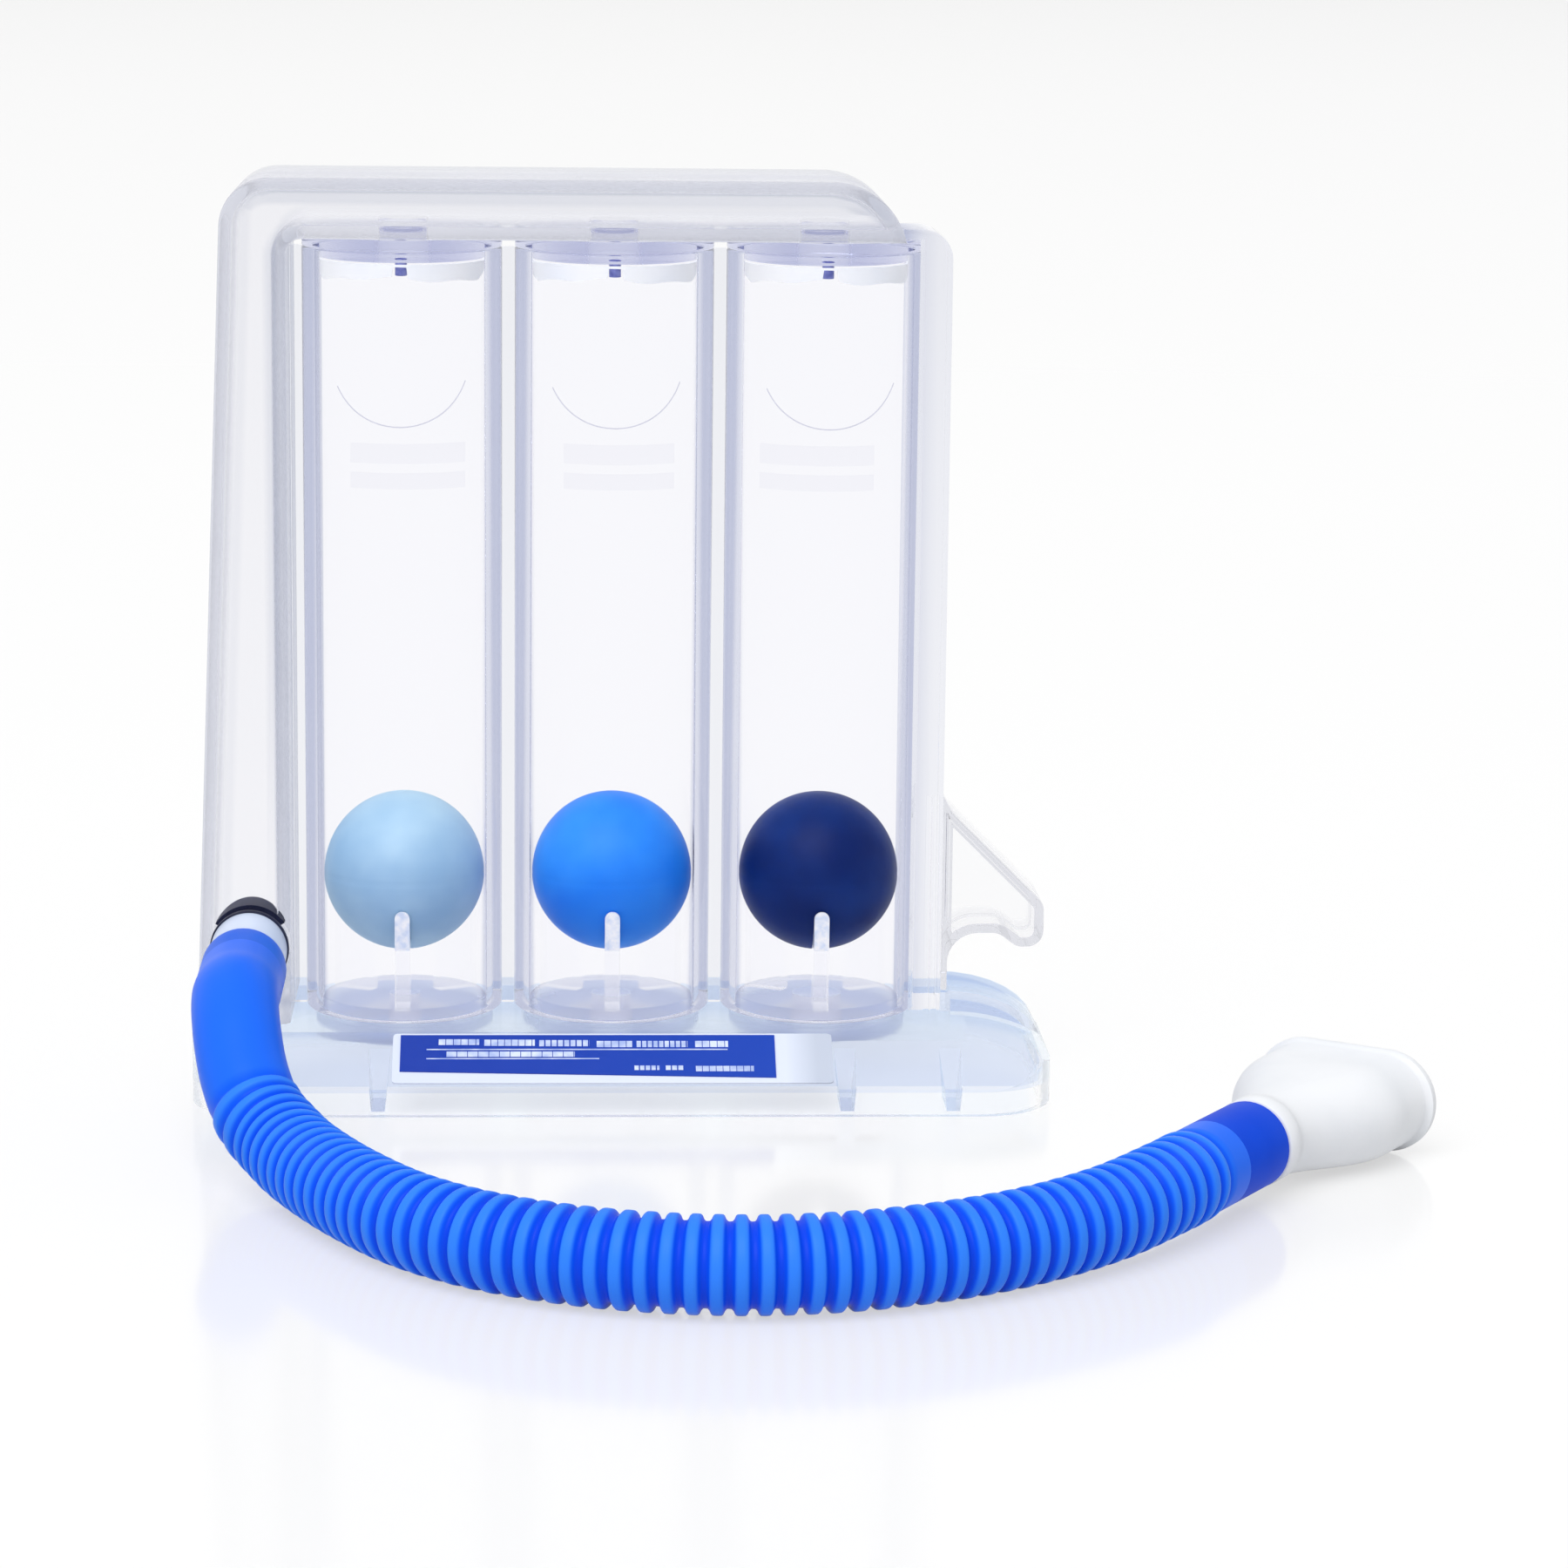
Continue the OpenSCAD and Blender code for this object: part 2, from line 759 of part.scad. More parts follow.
module hose_hook() {
    color([0.9, 0.91, 0.98, 0.45])
        union() {
            along_y(tube_y - hook_depth / 2, tube_y + hook_depth / 2)
                difference() {
                    hook_face();
                    offset(delta = -hook_rim_t) hook_face();
                }
            along_y(tube_y - hook_web_t / 2, tube_y + hook_web_t / 2)
                hook_face();
        }
}

// Label on the sloped front panel

// Lays what is drawn below the X axis on the panel, lifted off it, a margin below its upper edge
module on_panel(margin, lift) {
    panel_l = norm([slope_run, deck_z - rim_h]);
    translate([bank_x, front_y, rim_h])
        rotate([slope_angle, 0, 0])
            translate([0, panel_l - margin, lift])
                children();
}

module label_card() {
    color("white")
        on_panel(card_margin, 0)
            translate([-card_w / 2, -card_h, 0])
                cube([card_w, card_h, card_t]);
}

module label_strip() {
    left = -strip_w / 2 - strip_shift;
    color([0.12, 0.2, 0.62])
        on_panel(card_margin + strip_margin, card_t)
            linear_extrude(height = strip_t)
                polygon([[left, 0], [left, -strip_h_duct], [left + strip_w, -strip_h], [left + strip_w, 0]]);
}

// Inlet

module inlet_spigot() {
    inner_y = duct_front_y + duct_wall + spigot_stub;
    color([0.9, 0.92, 0.98, 0.6])
        difference() {
            on_inlet(inner_y, cuff_y - spigot_grip, spigot_d / 2);
            on_inlet(inner_y + over, cuff_y - spigot_grip - over, spigot_bore / 2);
        }
}

module inlet_gasket() {
    color([0.1, 0.1, 0.22])
        difference() {
            on_inlet(gasket_y, collar_y, gasket_d / 2);
            on_inlet(gasket_y + over, collar_y - over, spigot_d / 2 + fit_gap);
        }
}

module inlet_collar() {
    color([0.85, 0.88, 0.98])
        difference() {
            on_inlet(collar_y, cuff_y, collar_d / 2);
            on_inlet(collar_y + over, cuff_y - over, spigot_d / 2 + fit_gap);
        }
}

// Balls

module hollow_ball(x) {
    translate([x, tube_y, ball_z])
        difference() {
            sphere(r = ball_r);
            sphere(r = ball_r - ball_wall);
        }
}

module left_ball() color([0.62, 0.76, 0.9]) hollow_ball(left_x);
module middle_ball() color([0.15, 0.48, 0.92]) hollow_ball(bank_x);
module right_ball() color([0.1, 0.17, 0.42]) hollow_ball(right_x);

// Hose

// Point of the smooth curve through four route points, at the share t between the middle two
function curve_at(p0, p1, p2, p3, t) =
    (2 * p1 + (p2 - p0) * t + (2 * p0 - 5 * p1 + 4 * p2 - p3) * pow(t, 2)
     + (3 * p1 - p0 - 3 * p2 + p3) * pow(t, 3)) / 2;

// Samples along the whole route
function route_samples(p) =
    let (n = len(p))
    concat(
        [for (i = [0:n - 2]) for (k = [0:route_steps - 1])
            curve_at(i == 0 ? 2 * p[0] - p[1] : p[i - 1], p[i], p[i + 1],
                     i == n - 2 ? 2 * p[n - 1] - p[n - 2] : p[i + 2], k / route_steps)],
        [p[n - 1]]);

samples = route_samples(route);
// Length of the route from its start to each sample
run = [for (i = 0, s = 0; i < len(samples);
            s = s + (i + 1 < len(samples) ? norm(samples[i + 1] - samples[i]) : 0), i = i + 1) s];
hose_l = run[len(run) - 1];
x_run = [for (i = [0:len(run) - 1]) [run[i], samples[i].x]];
y_run = [for (i = [0:len(run) - 1]) [run[i], samples[i].y]];
z_run = [for (i = [0:len(run) - 1]) [run[i], samples[i].z]];

// Place and direction on the hose's middle line at the length s
function place(s) = [lookup(s, x_run), lookup(s, y_run), lookup(s, z_run)];
function heading(s) = unit(place(min(s + probe, hose_l)) - place(max(s - probe, 0)));

// Ring of points round the middle line at the length s, with flats at the radius r
function ring(s, r) =
    let (t = heading(s), side = unit(cross([0, 0, 1], t)), up = cross(t, side), c = place(s))
    let (step = 360 / hose_sides, reach = r / cos(step / 2))
    [for (k = [0:hose_sides - 1])
        c + reach * (cos(step * (k + 0.5)) * side + sin(step * (k + 0.5)) * up)];

// Even stops from s0 to s1, no further apart than the ring step
function stops(s0, s1) =
    let (n = ceil((s1 - s0) / ring_step))
    [for (i = [0:n - 1]) s0 + (s1 - s0) * i / n];

// Triangles between neighbouring rings of a tube of n rings, from the point number first
function sleeve(n, first, outward) = [
    for (i = [0:n - 2]) for (k = [0:hose_sides - 1])
        let (a = first + i * hose_sides + k, b = first + i * hose_sides + (k + 1) % hose_sides)
        let (c = a + hose_sides, d = b + hose_sides)
        each (outward ? [[a, c, b], [b, c, d]] : [[a, b, c], [b, d, c]])];

// Triangles of the flat end between an outer ring and a bore ring
function end_face(o, i, start) = [
    for (k = [0:hose_sides - 1])
        let (j = (k + 1) % hose_sides)
        each (start ? [[o + k, o + j, i + k], [o + j, i + j, i + k]]
                    : [[o + k, i + k, o + j], [o + j, i + k, i + j]])];

rib_from = smooth_inlet;
rib_to = hose_l - smooth_mouth;
rib_pitch = (rib_to - rib_from) / rib_count;
outer_stops = concat(
    [for (s = stops(0, rib_from)) [s, cuff_d / 2]],
    [for (i = [0:rib_count - 1]) each [[rib_from + i * rib_pitch, valley_d / 2],
                                       [rib_from + (i + 0.5) * rib_pitch, crest_d / 2]]],
    [[rib_to, valley_d / 2], [rib_to + rib_pitch, cuff_d / 2], [hose_l, cuff_d / 2]]);
bore_stops = concat(stops(0, hose_l), [hose_l]);

module hose() {
    n_out = len(outer_stops);
    n_in = len(bore_stops);
    first_in = n_out * hose_sides;
    points = concat([for (o = outer_stops) each ring(o[0], o[1])],
                    [for (s = bore_stops) each ring(s, hose_bore / 2)]);
    faces = concat(sleeve(n_out, 0, true), sleeve(n_in, first_in, false),
                   end_face(0, first_in, true),
                   end_face(first_in - hose_sides, first_in + (n_in - 1) * hose_sides, false));
    color([0.08, 0.38, 0.94])
        polyhedron(points = points, faces = faces);
}

module inlet_cuff() {
    color([0.1, 0.42, 0.95])
        difference() {
            on_inlet(cuff_y, hose_start_y, cuff_d / 2);
            on_inlet(cuff_y + over, hose_start_y - over, spigot_d / 2 + cuff_clear);
        }
}

// Lays what is drawn along +X on the hose's end, pointing out of it
module at_mouth() {
    out = hose_end - route[len(route) - 2];
    translate(hose_end)
        rotate([0, 0, atan2(out.y, out.x)])
            children();
}

// Cylinder along +X from x0 to x1
module rod(x0, x1, r) {
    translate([x0, 0, 0])
        rotate([0, 90, 0])
            cylinder(r = r, h = x1 - x0);
}

module mouth_cuff() {
    color([0.1, 0.42, 0.95])
        at_mouth()
            difference() {
                rod(0, mouth_cuff_l, cuff_d / 2);
                rod(-over, mouth_cuff_l + over, spigot_d / 2 + cuff_clear);
            }
}

// Mouthpiece

// Thin slice across the mouthpiece at x, w wide and h high with round ends
module mouth_slice(x, w, h) {
    spread = (w - h) / 2;
    translate([x, 0, 0])
        hull()
            for (y = [-spread, spread])
                translate([0, y, 0])
                    rod(0, slice_h, h / 2, $fn = hull_steps);
}

module mouthpiece() {
    flange_x = mouth_cuff_l + ball_gap;
    neck_x = flange_x + stop_flange_l;
    lip_x = neck_x + neck_l;
    end_x = lip_x + lip_l;
    bite_x = end_x - bite_l;
    root_d = stop_flange_d - 2 * ball_gap;
    color([0.95, 0.96, 0.98])
        at_mouth()
            difference() {
                union() {
                    rod(mouth_cuff_l - stub_l, flange_x + lap, spigot_d / 2);
                    rod(flange_x, neck_x, stop_flange_d / 2);
                    hull() {
                        mouth_slice(neck_x - lap, root_d + lap, root_d);
                        mouth_slice(lip_x, lip_w, lip_h);
                    }
                    hull() {
                        mouth_slice(lip_x, lip_w, lip_h);
                        mouth_slice(end_x - slice_h, lip_w, lip_h);
                    }
                    hull() {
                        mouth_slice(bite_x, bite_w, bite_h);
                        mouth_slice(end_x - slice_h, bite_w, bite_h);
                    }
                }
                rod(mouth_cuff_l - stub_l - over, neck_x + over, stub_bore / 2);
                hull() {
                    mouth_slice(neck_x, stub_bore + lap, stub_bore);
                    mouth_slice(lip_x, lip_w - 2 * lip_wall, lip_h - 2 * lip_wall);
                    mouth_slice(end_x + over, lip_w - 2 * lip_wall, lip_h - 2 * lip_wall);
                }
            }
}

base_frame();
base_hood();
left_floor();
middle_floor();
right_floor();
left_tube();
middle_tube();
right_tube();
left_cap();
middle_cap();
right_cap();
duct_front();
duct_back();
side_channel();
hose_hook();
inlet_spigot();
inlet_gasket();
inlet_collar();
label_card();
label_strip();
left_ball();
middle_ball();
right_ball();
hose();
inlet_cuff();
mouth_cuff();
mouthpiece();
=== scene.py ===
"""Looks of a three ball breathing trainer: clear moulded shells, satin balls, a ribbed hose."""

import logging
import math
from dataclasses import dataclass, field
from enum import Enum
from typing import Callable, Iterable, Mapping, Sequence

import bmesh
import bpy
from mathutils import Matrix, Vector


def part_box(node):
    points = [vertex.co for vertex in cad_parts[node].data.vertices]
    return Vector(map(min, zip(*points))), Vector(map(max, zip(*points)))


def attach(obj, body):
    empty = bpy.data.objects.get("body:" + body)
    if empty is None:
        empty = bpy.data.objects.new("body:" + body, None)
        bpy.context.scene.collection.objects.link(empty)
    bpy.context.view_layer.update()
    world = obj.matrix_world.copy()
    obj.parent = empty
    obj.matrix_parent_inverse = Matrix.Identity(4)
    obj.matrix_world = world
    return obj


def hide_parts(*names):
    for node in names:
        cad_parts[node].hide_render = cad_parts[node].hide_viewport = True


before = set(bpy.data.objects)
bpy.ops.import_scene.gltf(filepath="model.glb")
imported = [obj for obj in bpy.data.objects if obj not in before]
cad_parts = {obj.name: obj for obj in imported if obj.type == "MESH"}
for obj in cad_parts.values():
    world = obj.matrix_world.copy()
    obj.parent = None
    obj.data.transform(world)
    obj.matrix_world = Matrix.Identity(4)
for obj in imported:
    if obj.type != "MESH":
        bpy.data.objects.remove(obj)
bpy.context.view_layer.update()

LOG = logging.getLogger("breathing_trainer")
MM = 0.001
SKIN = 0.02 * MM
PHOTO_SIZE = 1800
SENSOR_WIDTH = 36.0

Tree = bpy.types.NodeTree
Node = bpy.types.Node
Socket = bpy.types.NodeSocket
Piece = bpy.types.Object
Colour = tuple[float, float, float, float]
Profile = Sequence[tuple[float, float]]


class Body(Enum):
    """Bodies of the frame that a piece can ride on."""

    TRAINER = "trainer"
    LEFT_BALL = "left_ball"
    MIDDLE_BALL = "middle_ball"
    RIGHT_BALL = "right_ball"
    HOSE_LINE = "hose_line"
    MOUTHPIECE = "mouthpiece"


class Slot(Enum):
    """Names of material slots."""

    SHELL = "clear_shell"
    TUBE = "clear_tube"
    SEAL = "dark_seal"
    COLLAR = "pale_collar"
    CARD = "white_card"
    PRINT = "blue_print"
    PALE_BALL = "pale_blue_ball"
    BRIGHT_BALL = "bright_blue_ball"
    NAVY_BALL = "navy_ball"
    HOSE = "blue_hose"
    MOUTHPIECE = "white_mouthpiece"


def rgb(code: str) -> Colour:
    """Turns a display colour into a linear one.

    Args:
        code: Six hexadecimal digits.

    Returns:
        The linear colour, with full alpha.
    """
    values = [int(code[i:i + 2], 16) / 255 for i in (0, 2, 4)]
    linear = [v / 12.92 if v <= 0.04045 else ((v + 0.055) / 1.055) ** 2.4 for v in values]
    return (linear[0], linear[1], linear[2], 1.0)


WHITE_TONE: Colour = (1.0, 1.0, 1.0, 1.0)
GREY_TONE: Colour = (0.5, 0.5, 0.5, 1.0)
SMOKE: Colour = (0.68, 0.69, 0.76, 1.0)


# ---- Node trees ----


def feed(tree: Tree, node: Node, values: Mapping[object, object]) -> None:
    """Leads sockets into the inputs of a node and writes plain values to them.

    Args:
        tree: Node tree of the node.
        node: The node.
        values: A socket or a value for each input, by its name or number.
    """
    for key, value in values.items():
        if isinstance(value, Socket):
            tree.links.new(value, node.inputs[key])
        else:
            node.inputs[key].default_value = value


def add_node(tree: Tree, kind: str, values: Mapping[object, object] | None = None,
             **traits: object) -> Node:
    """Adds a shader node.

    Args:
        tree: Tree that it is added to.
        kind: Its type, without the words Shader Node.
        values: A socket or a value for each input.
        traits: Settings of the node itself.

    Returns:
        The node.
    """
    node = tree.nodes.new("ShaderNode" + kind)
    for name, value in traits.items():
        setattr(node, name, value)
    feed(tree, node, values or {})
    return node


def calculate(tree: Tree, operation: str, *values: object, clamp: bool = False) -> Socket:
    """Adds a calculation with sockets and numbers, and returns the socket of its result."""
    node = add_node(tree, "Math", dict(enumerate(values)), operation=operation, use_clamp=clamp)
    return node.outputs["Value"]


def spread(tree: Tree, value: Socket, low: object, high: object, start: float = 0.0,
           end: float = 1.0, **traits: object) -> Socket:
    """Maps a value from start and end to low and high, and returns the socket of the result."""
    node = add_node(tree, "MapRange", {"Value": value, "From Min": start, "From Max": end,
                                       "To Min": low, "To Max": high}, **traits)
    return node.outputs["Result"]


def mix_colours(tree: Tree, share: object, first: object, second: object) -> Socket:
    """Mixes a share of the second colour into the first, and returns the socket of the result."""
    mix = add_node(tree, "Mix", {"Factor": share, 6: first, 7: second}, data_type="RGBA")
    return mix.outputs[2]


class Effects:
    """Node groups that are built once and placed in each material with its own values."""

    _built: dict[str, Tree] = {}

    @classmethod
    def _start(cls, name: str, inputs: Mapping[str, object],
               outputs: Mapping[str, str]) -> tuple[Tree, Node, Node]:
        """Starts a group with its sockets.

        Args:
            name: Name of the group.
            inputs: Default value of each input, a number or a colour.
            outputs: Socket type of each output.

        Returns:
            The group, the node of its inputs and the node of its outputs.
        """
        tree = bpy.data.node_groups.new(name, "ShaderNodeTree")
        for label, value in inputs.items():
            kind = "NodeSocketFloat" if isinstance(value, float) else "NodeSocketColor"
            tree.interface.new_socket(label, in_out="INPUT",
                                      socket_type=kind).default_value = value
        for label, kind in outputs.items():
            tree.interface.new_socket(label, in_out="OUTPUT", socket_type=kind)
        cls._built[name] = tree
        return tree, tree.nodes.new("NodeGroupInput"), tree.nodes.new("NodeGroupOutput")

    @classmethod
    def colour_drift(cls) -> Tree:
        """Lets a colour drift between two tones in soft clouds.

        Returns:
            The group, with inputs Tone, Second Tone, Scale and Amount and the output
            Colour.
        """
        name = "Colour Drift"
        if name in cls._built:
            return cls._built[name]
        tree, enter, leave = cls._start(name, {
            "Tone": GREY_TONE, "Second Tone": GREY_TONE, "Scale": 60.0, "Amount": 1.0,
        }, {"Colour": "NodeSocketColor"})
        given = enter.outputs
        clouds = add_node(tree, "TexNoise", {
            "Vector": add_node(tree, "TexCoord").outputs["Object"], "Scale": given["Scale"],
            "Detail": 3.0, "Roughness": 0.45})
        share = spread(tree, clouds.outputs["Fac"], 0.0, given["Amount"], 0.35, 0.65)
        feed(tree, leave, {"Colour": mix_colours(tree, share, given["Tone"],
                                                 given["Second Tone"])})
        return tree

    @classmethod
    def mould_grain(cls) -> Tree:
        """Gives the fine grain and the slow waves of a moulded surface.

        Returns:
            The group, with inputs Grain Scale, Wave Scale and Wave Share and outputs Height
            and Mask.
        """
        name = "Mould Grain"
        if name in cls._built:
            return cls._built[name]
        tree, enter, leave = cls._start(name, {
            "Grain Scale": 2500.0, "Wave Scale": 40.0, "Wave Share": 0.5,
        }, {"Height": "NodeSocketFloat", "Mask": "NodeSocketFloat"})
        place = add_node(tree, "TexCoord").outputs["Object"]
        grain, wave = (add_node(tree, "TexNoise", {
            "Vector": place, "Scale": enter.outputs[scale], "Detail": detail}).outputs["Fac"]
            for scale, detail in (("Grain Scale", 2.0), ("Wave Scale", 1.0)))
        mix = add_node(tree, "Mix", {"Factor": enter.outputs["Wave Share"], "A": grain,
                                     "B": wave})
        feed(tree, leave, {"Height": mix.outputs["Result"], "Mask": wave})
        return tree


def place_group(tree: Tree, group: Tree, **values: object) -> Node:
    """Places an effect in a material.

    Args:
        tree: Node tree of the material.
        group: The effect's group.
        values: Values of its inputs, with underscores for blanks.

    Returns:
        The group's node.
    """
    node = add_node(tree, "Group", node_tree=group)
    feed(tree, node, {label.replace("_", " ").title(): v for label, v in values.items()})
    return node


def add_bump(tree: Tree, skin: Node, height: Socket, depth: float) -> None:
    """Leads a height from 0 to 1 into a shader's normal, as a relief of a depth in metres."""
    bump = add_node(tree, "Bump", {"Strength": 1.0, "Distance": depth, "Height": height})
    feed(tree, skin, {"Normal": bump.outputs["Normal"]})


# ---- Finishes ----


@dataclass(frozen=True)
class Finish:
    """A material of this object, made once and shared by its pieces."""

    name: str

    def material(self) -> bpy.types.Material:
        """Makes the material of this finish on first use.

        Returns:
            The material.
        """
        found = bpy.data.materials.get(self.name)
        if found is not None:
            return found
        made = bpy.data.materials.new(self.name)
        made.use_nodes = True
        tree = made.node_tree
        self.dress(tree, tree.nodes["Principled BSDF"], tree.nodes["Material Output"])
        return made

    def dress(self, tree: Tree, skin: Node, output: Node) -> None:
        """Sets the Principled shader and the output of a material's node tree."""
        raise NotImplementedError


@dataclass(frozen=True)
class ClearPlastic(Finish):
    """Clear polished plastic whose tint deepens along its walls, with a rim colour where it has a
    rim: painted shade on the duct and the channel and a painted sheen on the base.
    """

    absorb: Colour
    density: float
    face: Colour = WHITE_TONE
    rim: Colour = WHITE_TONE
    rim_start: float = 0.4
    rim_end: float = 0.47
    ior: float = 1.08
    roughness: float = 0.04
    haze_share: float = 0.3
    transmission: float = 1.0
    grain_scale: float = 900.0
    wave_scale: float = 55.0
    wave_share: float = 0.85
    wave_depth: float = 0.0000005
    drift_low: float = 0.9
    shadow: float = 0.04
    deep_ray: float = 5.0
    rim_name: str = "rim_share"

    def dress(self, tree: Tree, skin: Node, output: Node) -> None:
        """Sets a clear shader with absorption and a tinted rim.

        Args:
            tree: Node tree of the material.
            skin: Its Principled shader.
            output: Its output node.
        """
        grain = place_group(tree, Effects.mould_grain(), grain_scale=self.grain_scale,
                            wave_scale=self.wave_scale, wave_share=self.wave_share)
        clouds = grain.outputs["Mask"]
        feed(tree, skin, {
            "Transmission Weight": self.transmission, "IOR": self.ior,
            "Roughness": spread(tree, clouds, self.roughness * (1 - self.haze_share),
                                self.roughness * (1 + self.haze_share)),
            "Base Color": self.tint(tree, clouds), "Alpha": self.veil(tree)})
        add_bump(tree, skin, grain.outputs["Height"], self.wave_depth)
        if self.density > 0:
            absorption = add_node(tree, "VolumeAbsorption",
                                  {"Color": self.absorb, "Density": self.density})
            feed(tree, output, {"Volume": absorption.outputs["Volume"]})

    def tint(self, tree: Tree, clouds: Socket) -> Socket:
        """Tints the surface where it turns away, as far as its rim share says.

        Args:
            tree: Node tree of the material.
            clouds: Socket of a slow mask from 0 to 1.

        Returns:
            The socket of the colour.
        """
        facing = add_node(tree, "LayerWeight", {"Blend": 0.5}).outputs["Facing"]
        step = spread(tree, facing, 0.0, 1.0, self.rim_start, self.rim_end,
                      interpolation_type="SMOOTHSTEP")
        share = add_node(tree, "Attribute", attribute_name=self.rim_name).outputs["Fac"]
        weight = calculate(tree, "MULTIPLY", calculate(tree, "MULTIPLY", step, share),
                           spread(tree, clouds, self.drift_low, 1.0))
        return mix_colours(tree, weight, self.face, self.rim)

    def veil(self, tree: Tree) -> Socket:
        """Lets most light through to what the clear walls enclose.

        Args:
            tree: Node tree of the material.

        Returns:
            The socket of an opacity that is full but for shadow rays, diffuse rays and rays
            that have met many surfaces.
        """
        path = add_node(tree, "LightPath").outputs
        passed = calculate(tree, "GREATER_THAN", path["Ray Depth"], self.deep_ray)
        for name in ("Is Shadow Ray", "Is Diffuse Ray"):
            passed = calculate(tree, "MAXIMUM", passed, path[name])
        return spread(tree, passed, 1.0, self.shadow)


@dataclass(frozen=True)
class MouldedPlastic(Finish):
    """Opaque moulded plastic whose colour drifts between two close tones."""

    tone: Colour
    second_tone: Colour
    roughness: float = 0.35
    coat: float = 0.0
    drift_scale: float = 70.0
    grain_depth: float = 0.000012
    specular: float = 0.5
    smoother: float = 0.05
    rougher: float = 0.08

    def colour(self, tree: Tree) -> Socket:
        """Returns the socket that gives the colour over the surface."""
        drift = place_group(tree, Effects.colour_drift(), tone=self.tone,
                            second_tone=self.second_tone, scale=self.drift_scale)
        return drift.outputs["Colour"]

    def dress(self, tree: Tree, skin: Node, output: Node) -> None:
        """Sets a satin shader with drifting colour, roughness and grain.

        Args:
            tree: Node tree of the material.
            skin: Its Principled shader.
            output: Its output node.
        """
        grain = place_group(tree, Effects.mould_grain(), grain_scale=1600.0, wave_scale=90.0,
                            wave_share=0.4)
        feed(tree, skin, {
            "Coat Weight": self.coat, "Coat Roughness": 0.25,
            "Specular IOR Level": self.specular, "Base Color": self.colour(tree),
            "Roughness": spread(tree, grain.outputs["Mask"], self.roughness - self.smoother,
                                self.roughness + self.rougher)})
        add_bump(tree, skin, grain.outputs["Height"], self.grain_depth)


@dataclass(frozen=True)
class PrintedPlastic(MouldedPlastic):
    """Print whose tone runs from one end of a length along X to the other."""

    start_x: float = -0.04
    end_x: float = 0.03

    def colour(self, tree: Tree) -> Socket:
        """Lets the colour run along X.

        Args:
            tree: Node tree of the material.

        Returns:
            The socket of the colour.
        """
        place = add_node(tree, "TexCoord").outputs["Object"]
        x = add_node(tree, "SeparateXYZ", {"Vector": place}).outputs["X"]
        return mix_colours(tree, spread(tree, x, 0.0, 1.0, self.start_x, self.end_x), self.tone,
                           self.second_tone)


@dataclass(frozen=True)
class RibbedPlastic(MouldedPlastic):
    """Hose plastic: deep blue painted shade in the valleys and a lighter painted highlight on the
    crests.
    """

    valley_shade: Colour = GREY_TONE
    crest_highlight: Colour = WHITE_TONE
    flank_height: float = 0.55
    rib_share: float = 0.8
    height_name: str = "rib_height"

    def colour(self, tree: Tree) -> Socket:
        """Paints shade into the valleys and a highlight onto the crests, by the height of the
        ribs.

        Args:
            tree: Node tree of the material.

        Returns:
            The socket of the colour.
        """
        height = add_node(tree, "Attribute", attribute_name=self.height_name).outputs["Fac"]
        ramp = add_node(tree, "ValToRGB", {"Fac": height})
        stops = ramp.color_ramp.elements
        stops[0].color, stops[1].color = self.valley_shade, self.crest_highlight
        stops.new(self.flank_height).color = self.tone
        return mix_colours(tree, self.rib_share, super().colour(tree), ramp.outputs["Color"])


SHELL = ClearPlastic("clear shell", SMOKE, 60.0)
# Painted shade: the rim colour darkens the side channel beside the tube.
CHANNEL = ClearPlastic("clear channel", (0.68, 0.7, 0.82, 1.0), 26.0, face=WHITE_TONE,
                       rim=rgb("b4bbd6"), rim_start=-0.2, rim_end=-0.1)
# Painted shade: the rim colour, set by each point's rim share, darkens a band along the duct's
# rounded edges.
DUCT = ClearPlastic("clear duct", (0.66, 0.68, 0.77, 1.0), 10.0, face=rgb("fafafc"),
                    rim=rgb("cfd3df"), rim_start=-0.2, rim_end=-0.1, roughness=0.22, ior=1.04)
# Painted light: the bluish face is a painted reflection of the blue hose, and the lighter rim
# colour towards grazing angles a painted sheen.
BASE = ClearPlastic("clear base", WHITE_TONE, 0.0, face=rgb("dfe7f7"), rim=rgb("eef8ff"),
                    rim_start=0.3, rim_end=0.95, roughness=0.22, ior=1.06)
FOOT = ClearPlastic("clear foot", WHITE_TONE, 0.0, face=rgb("fbfdff"), roughness=0.22,
                    ior=1.04)
CAP = ClearPlastic("clear cap", (0.7, 0.72, 0.86, 1.0), 80.0)
RIB = ClearPlastic("clear rib", (0.66, 0.68, 0.9, 1.0), 14.0)
DISC = ClearPlastic("floor disc", (0.62, 0.64, 0.78, 1.0), 30.0, face=rgb("edeff8"), ior=1.06,
                    roughness=0.3)
# Painted shade: lilac rings darken the edges of the ports.
PORT_SHADE = ClearPlastic("painted port shade", (0.5, 0.52, 0.8, 1.0), 60.0, face=rgb("d4d6ea"))
WEB = ClearPlastic("clear web", SMOKE, 50.0, face=rgb("f3f4f8"))
TUBE = ClearPlastic("clear tube", SMOKE, 9.0, face=rgb("fdfdff"), rim=rgb("c1c6dd"))
COLLAR = ClearPlastic("pale collar", (0.6, 0.66, 0.84, 1.0), 24.0, face=rgb("dde9ff"),
                      rim=rgb("dde9ff"), ior=1.2, roughness=0.25, transmission=0.25)
FAINT_PRINT = ClearPlastic("faint print", WHITE_TONE, 0.0, face=rgb("fafafc"), ior=1.02)
ARC = ClearPlastic("faint arc", WHITE_TONE, 0.0, face=rgb("dcdde8"), ior=1.02)
# Painted highlight: an opaque white band stands in for the glint on the caps' plugs.
GLEAM = MouldedPlastic("painted plug highlight", rgb("fdfeff"), rgb("f4f8ff"), 0.3, specular=0.3)
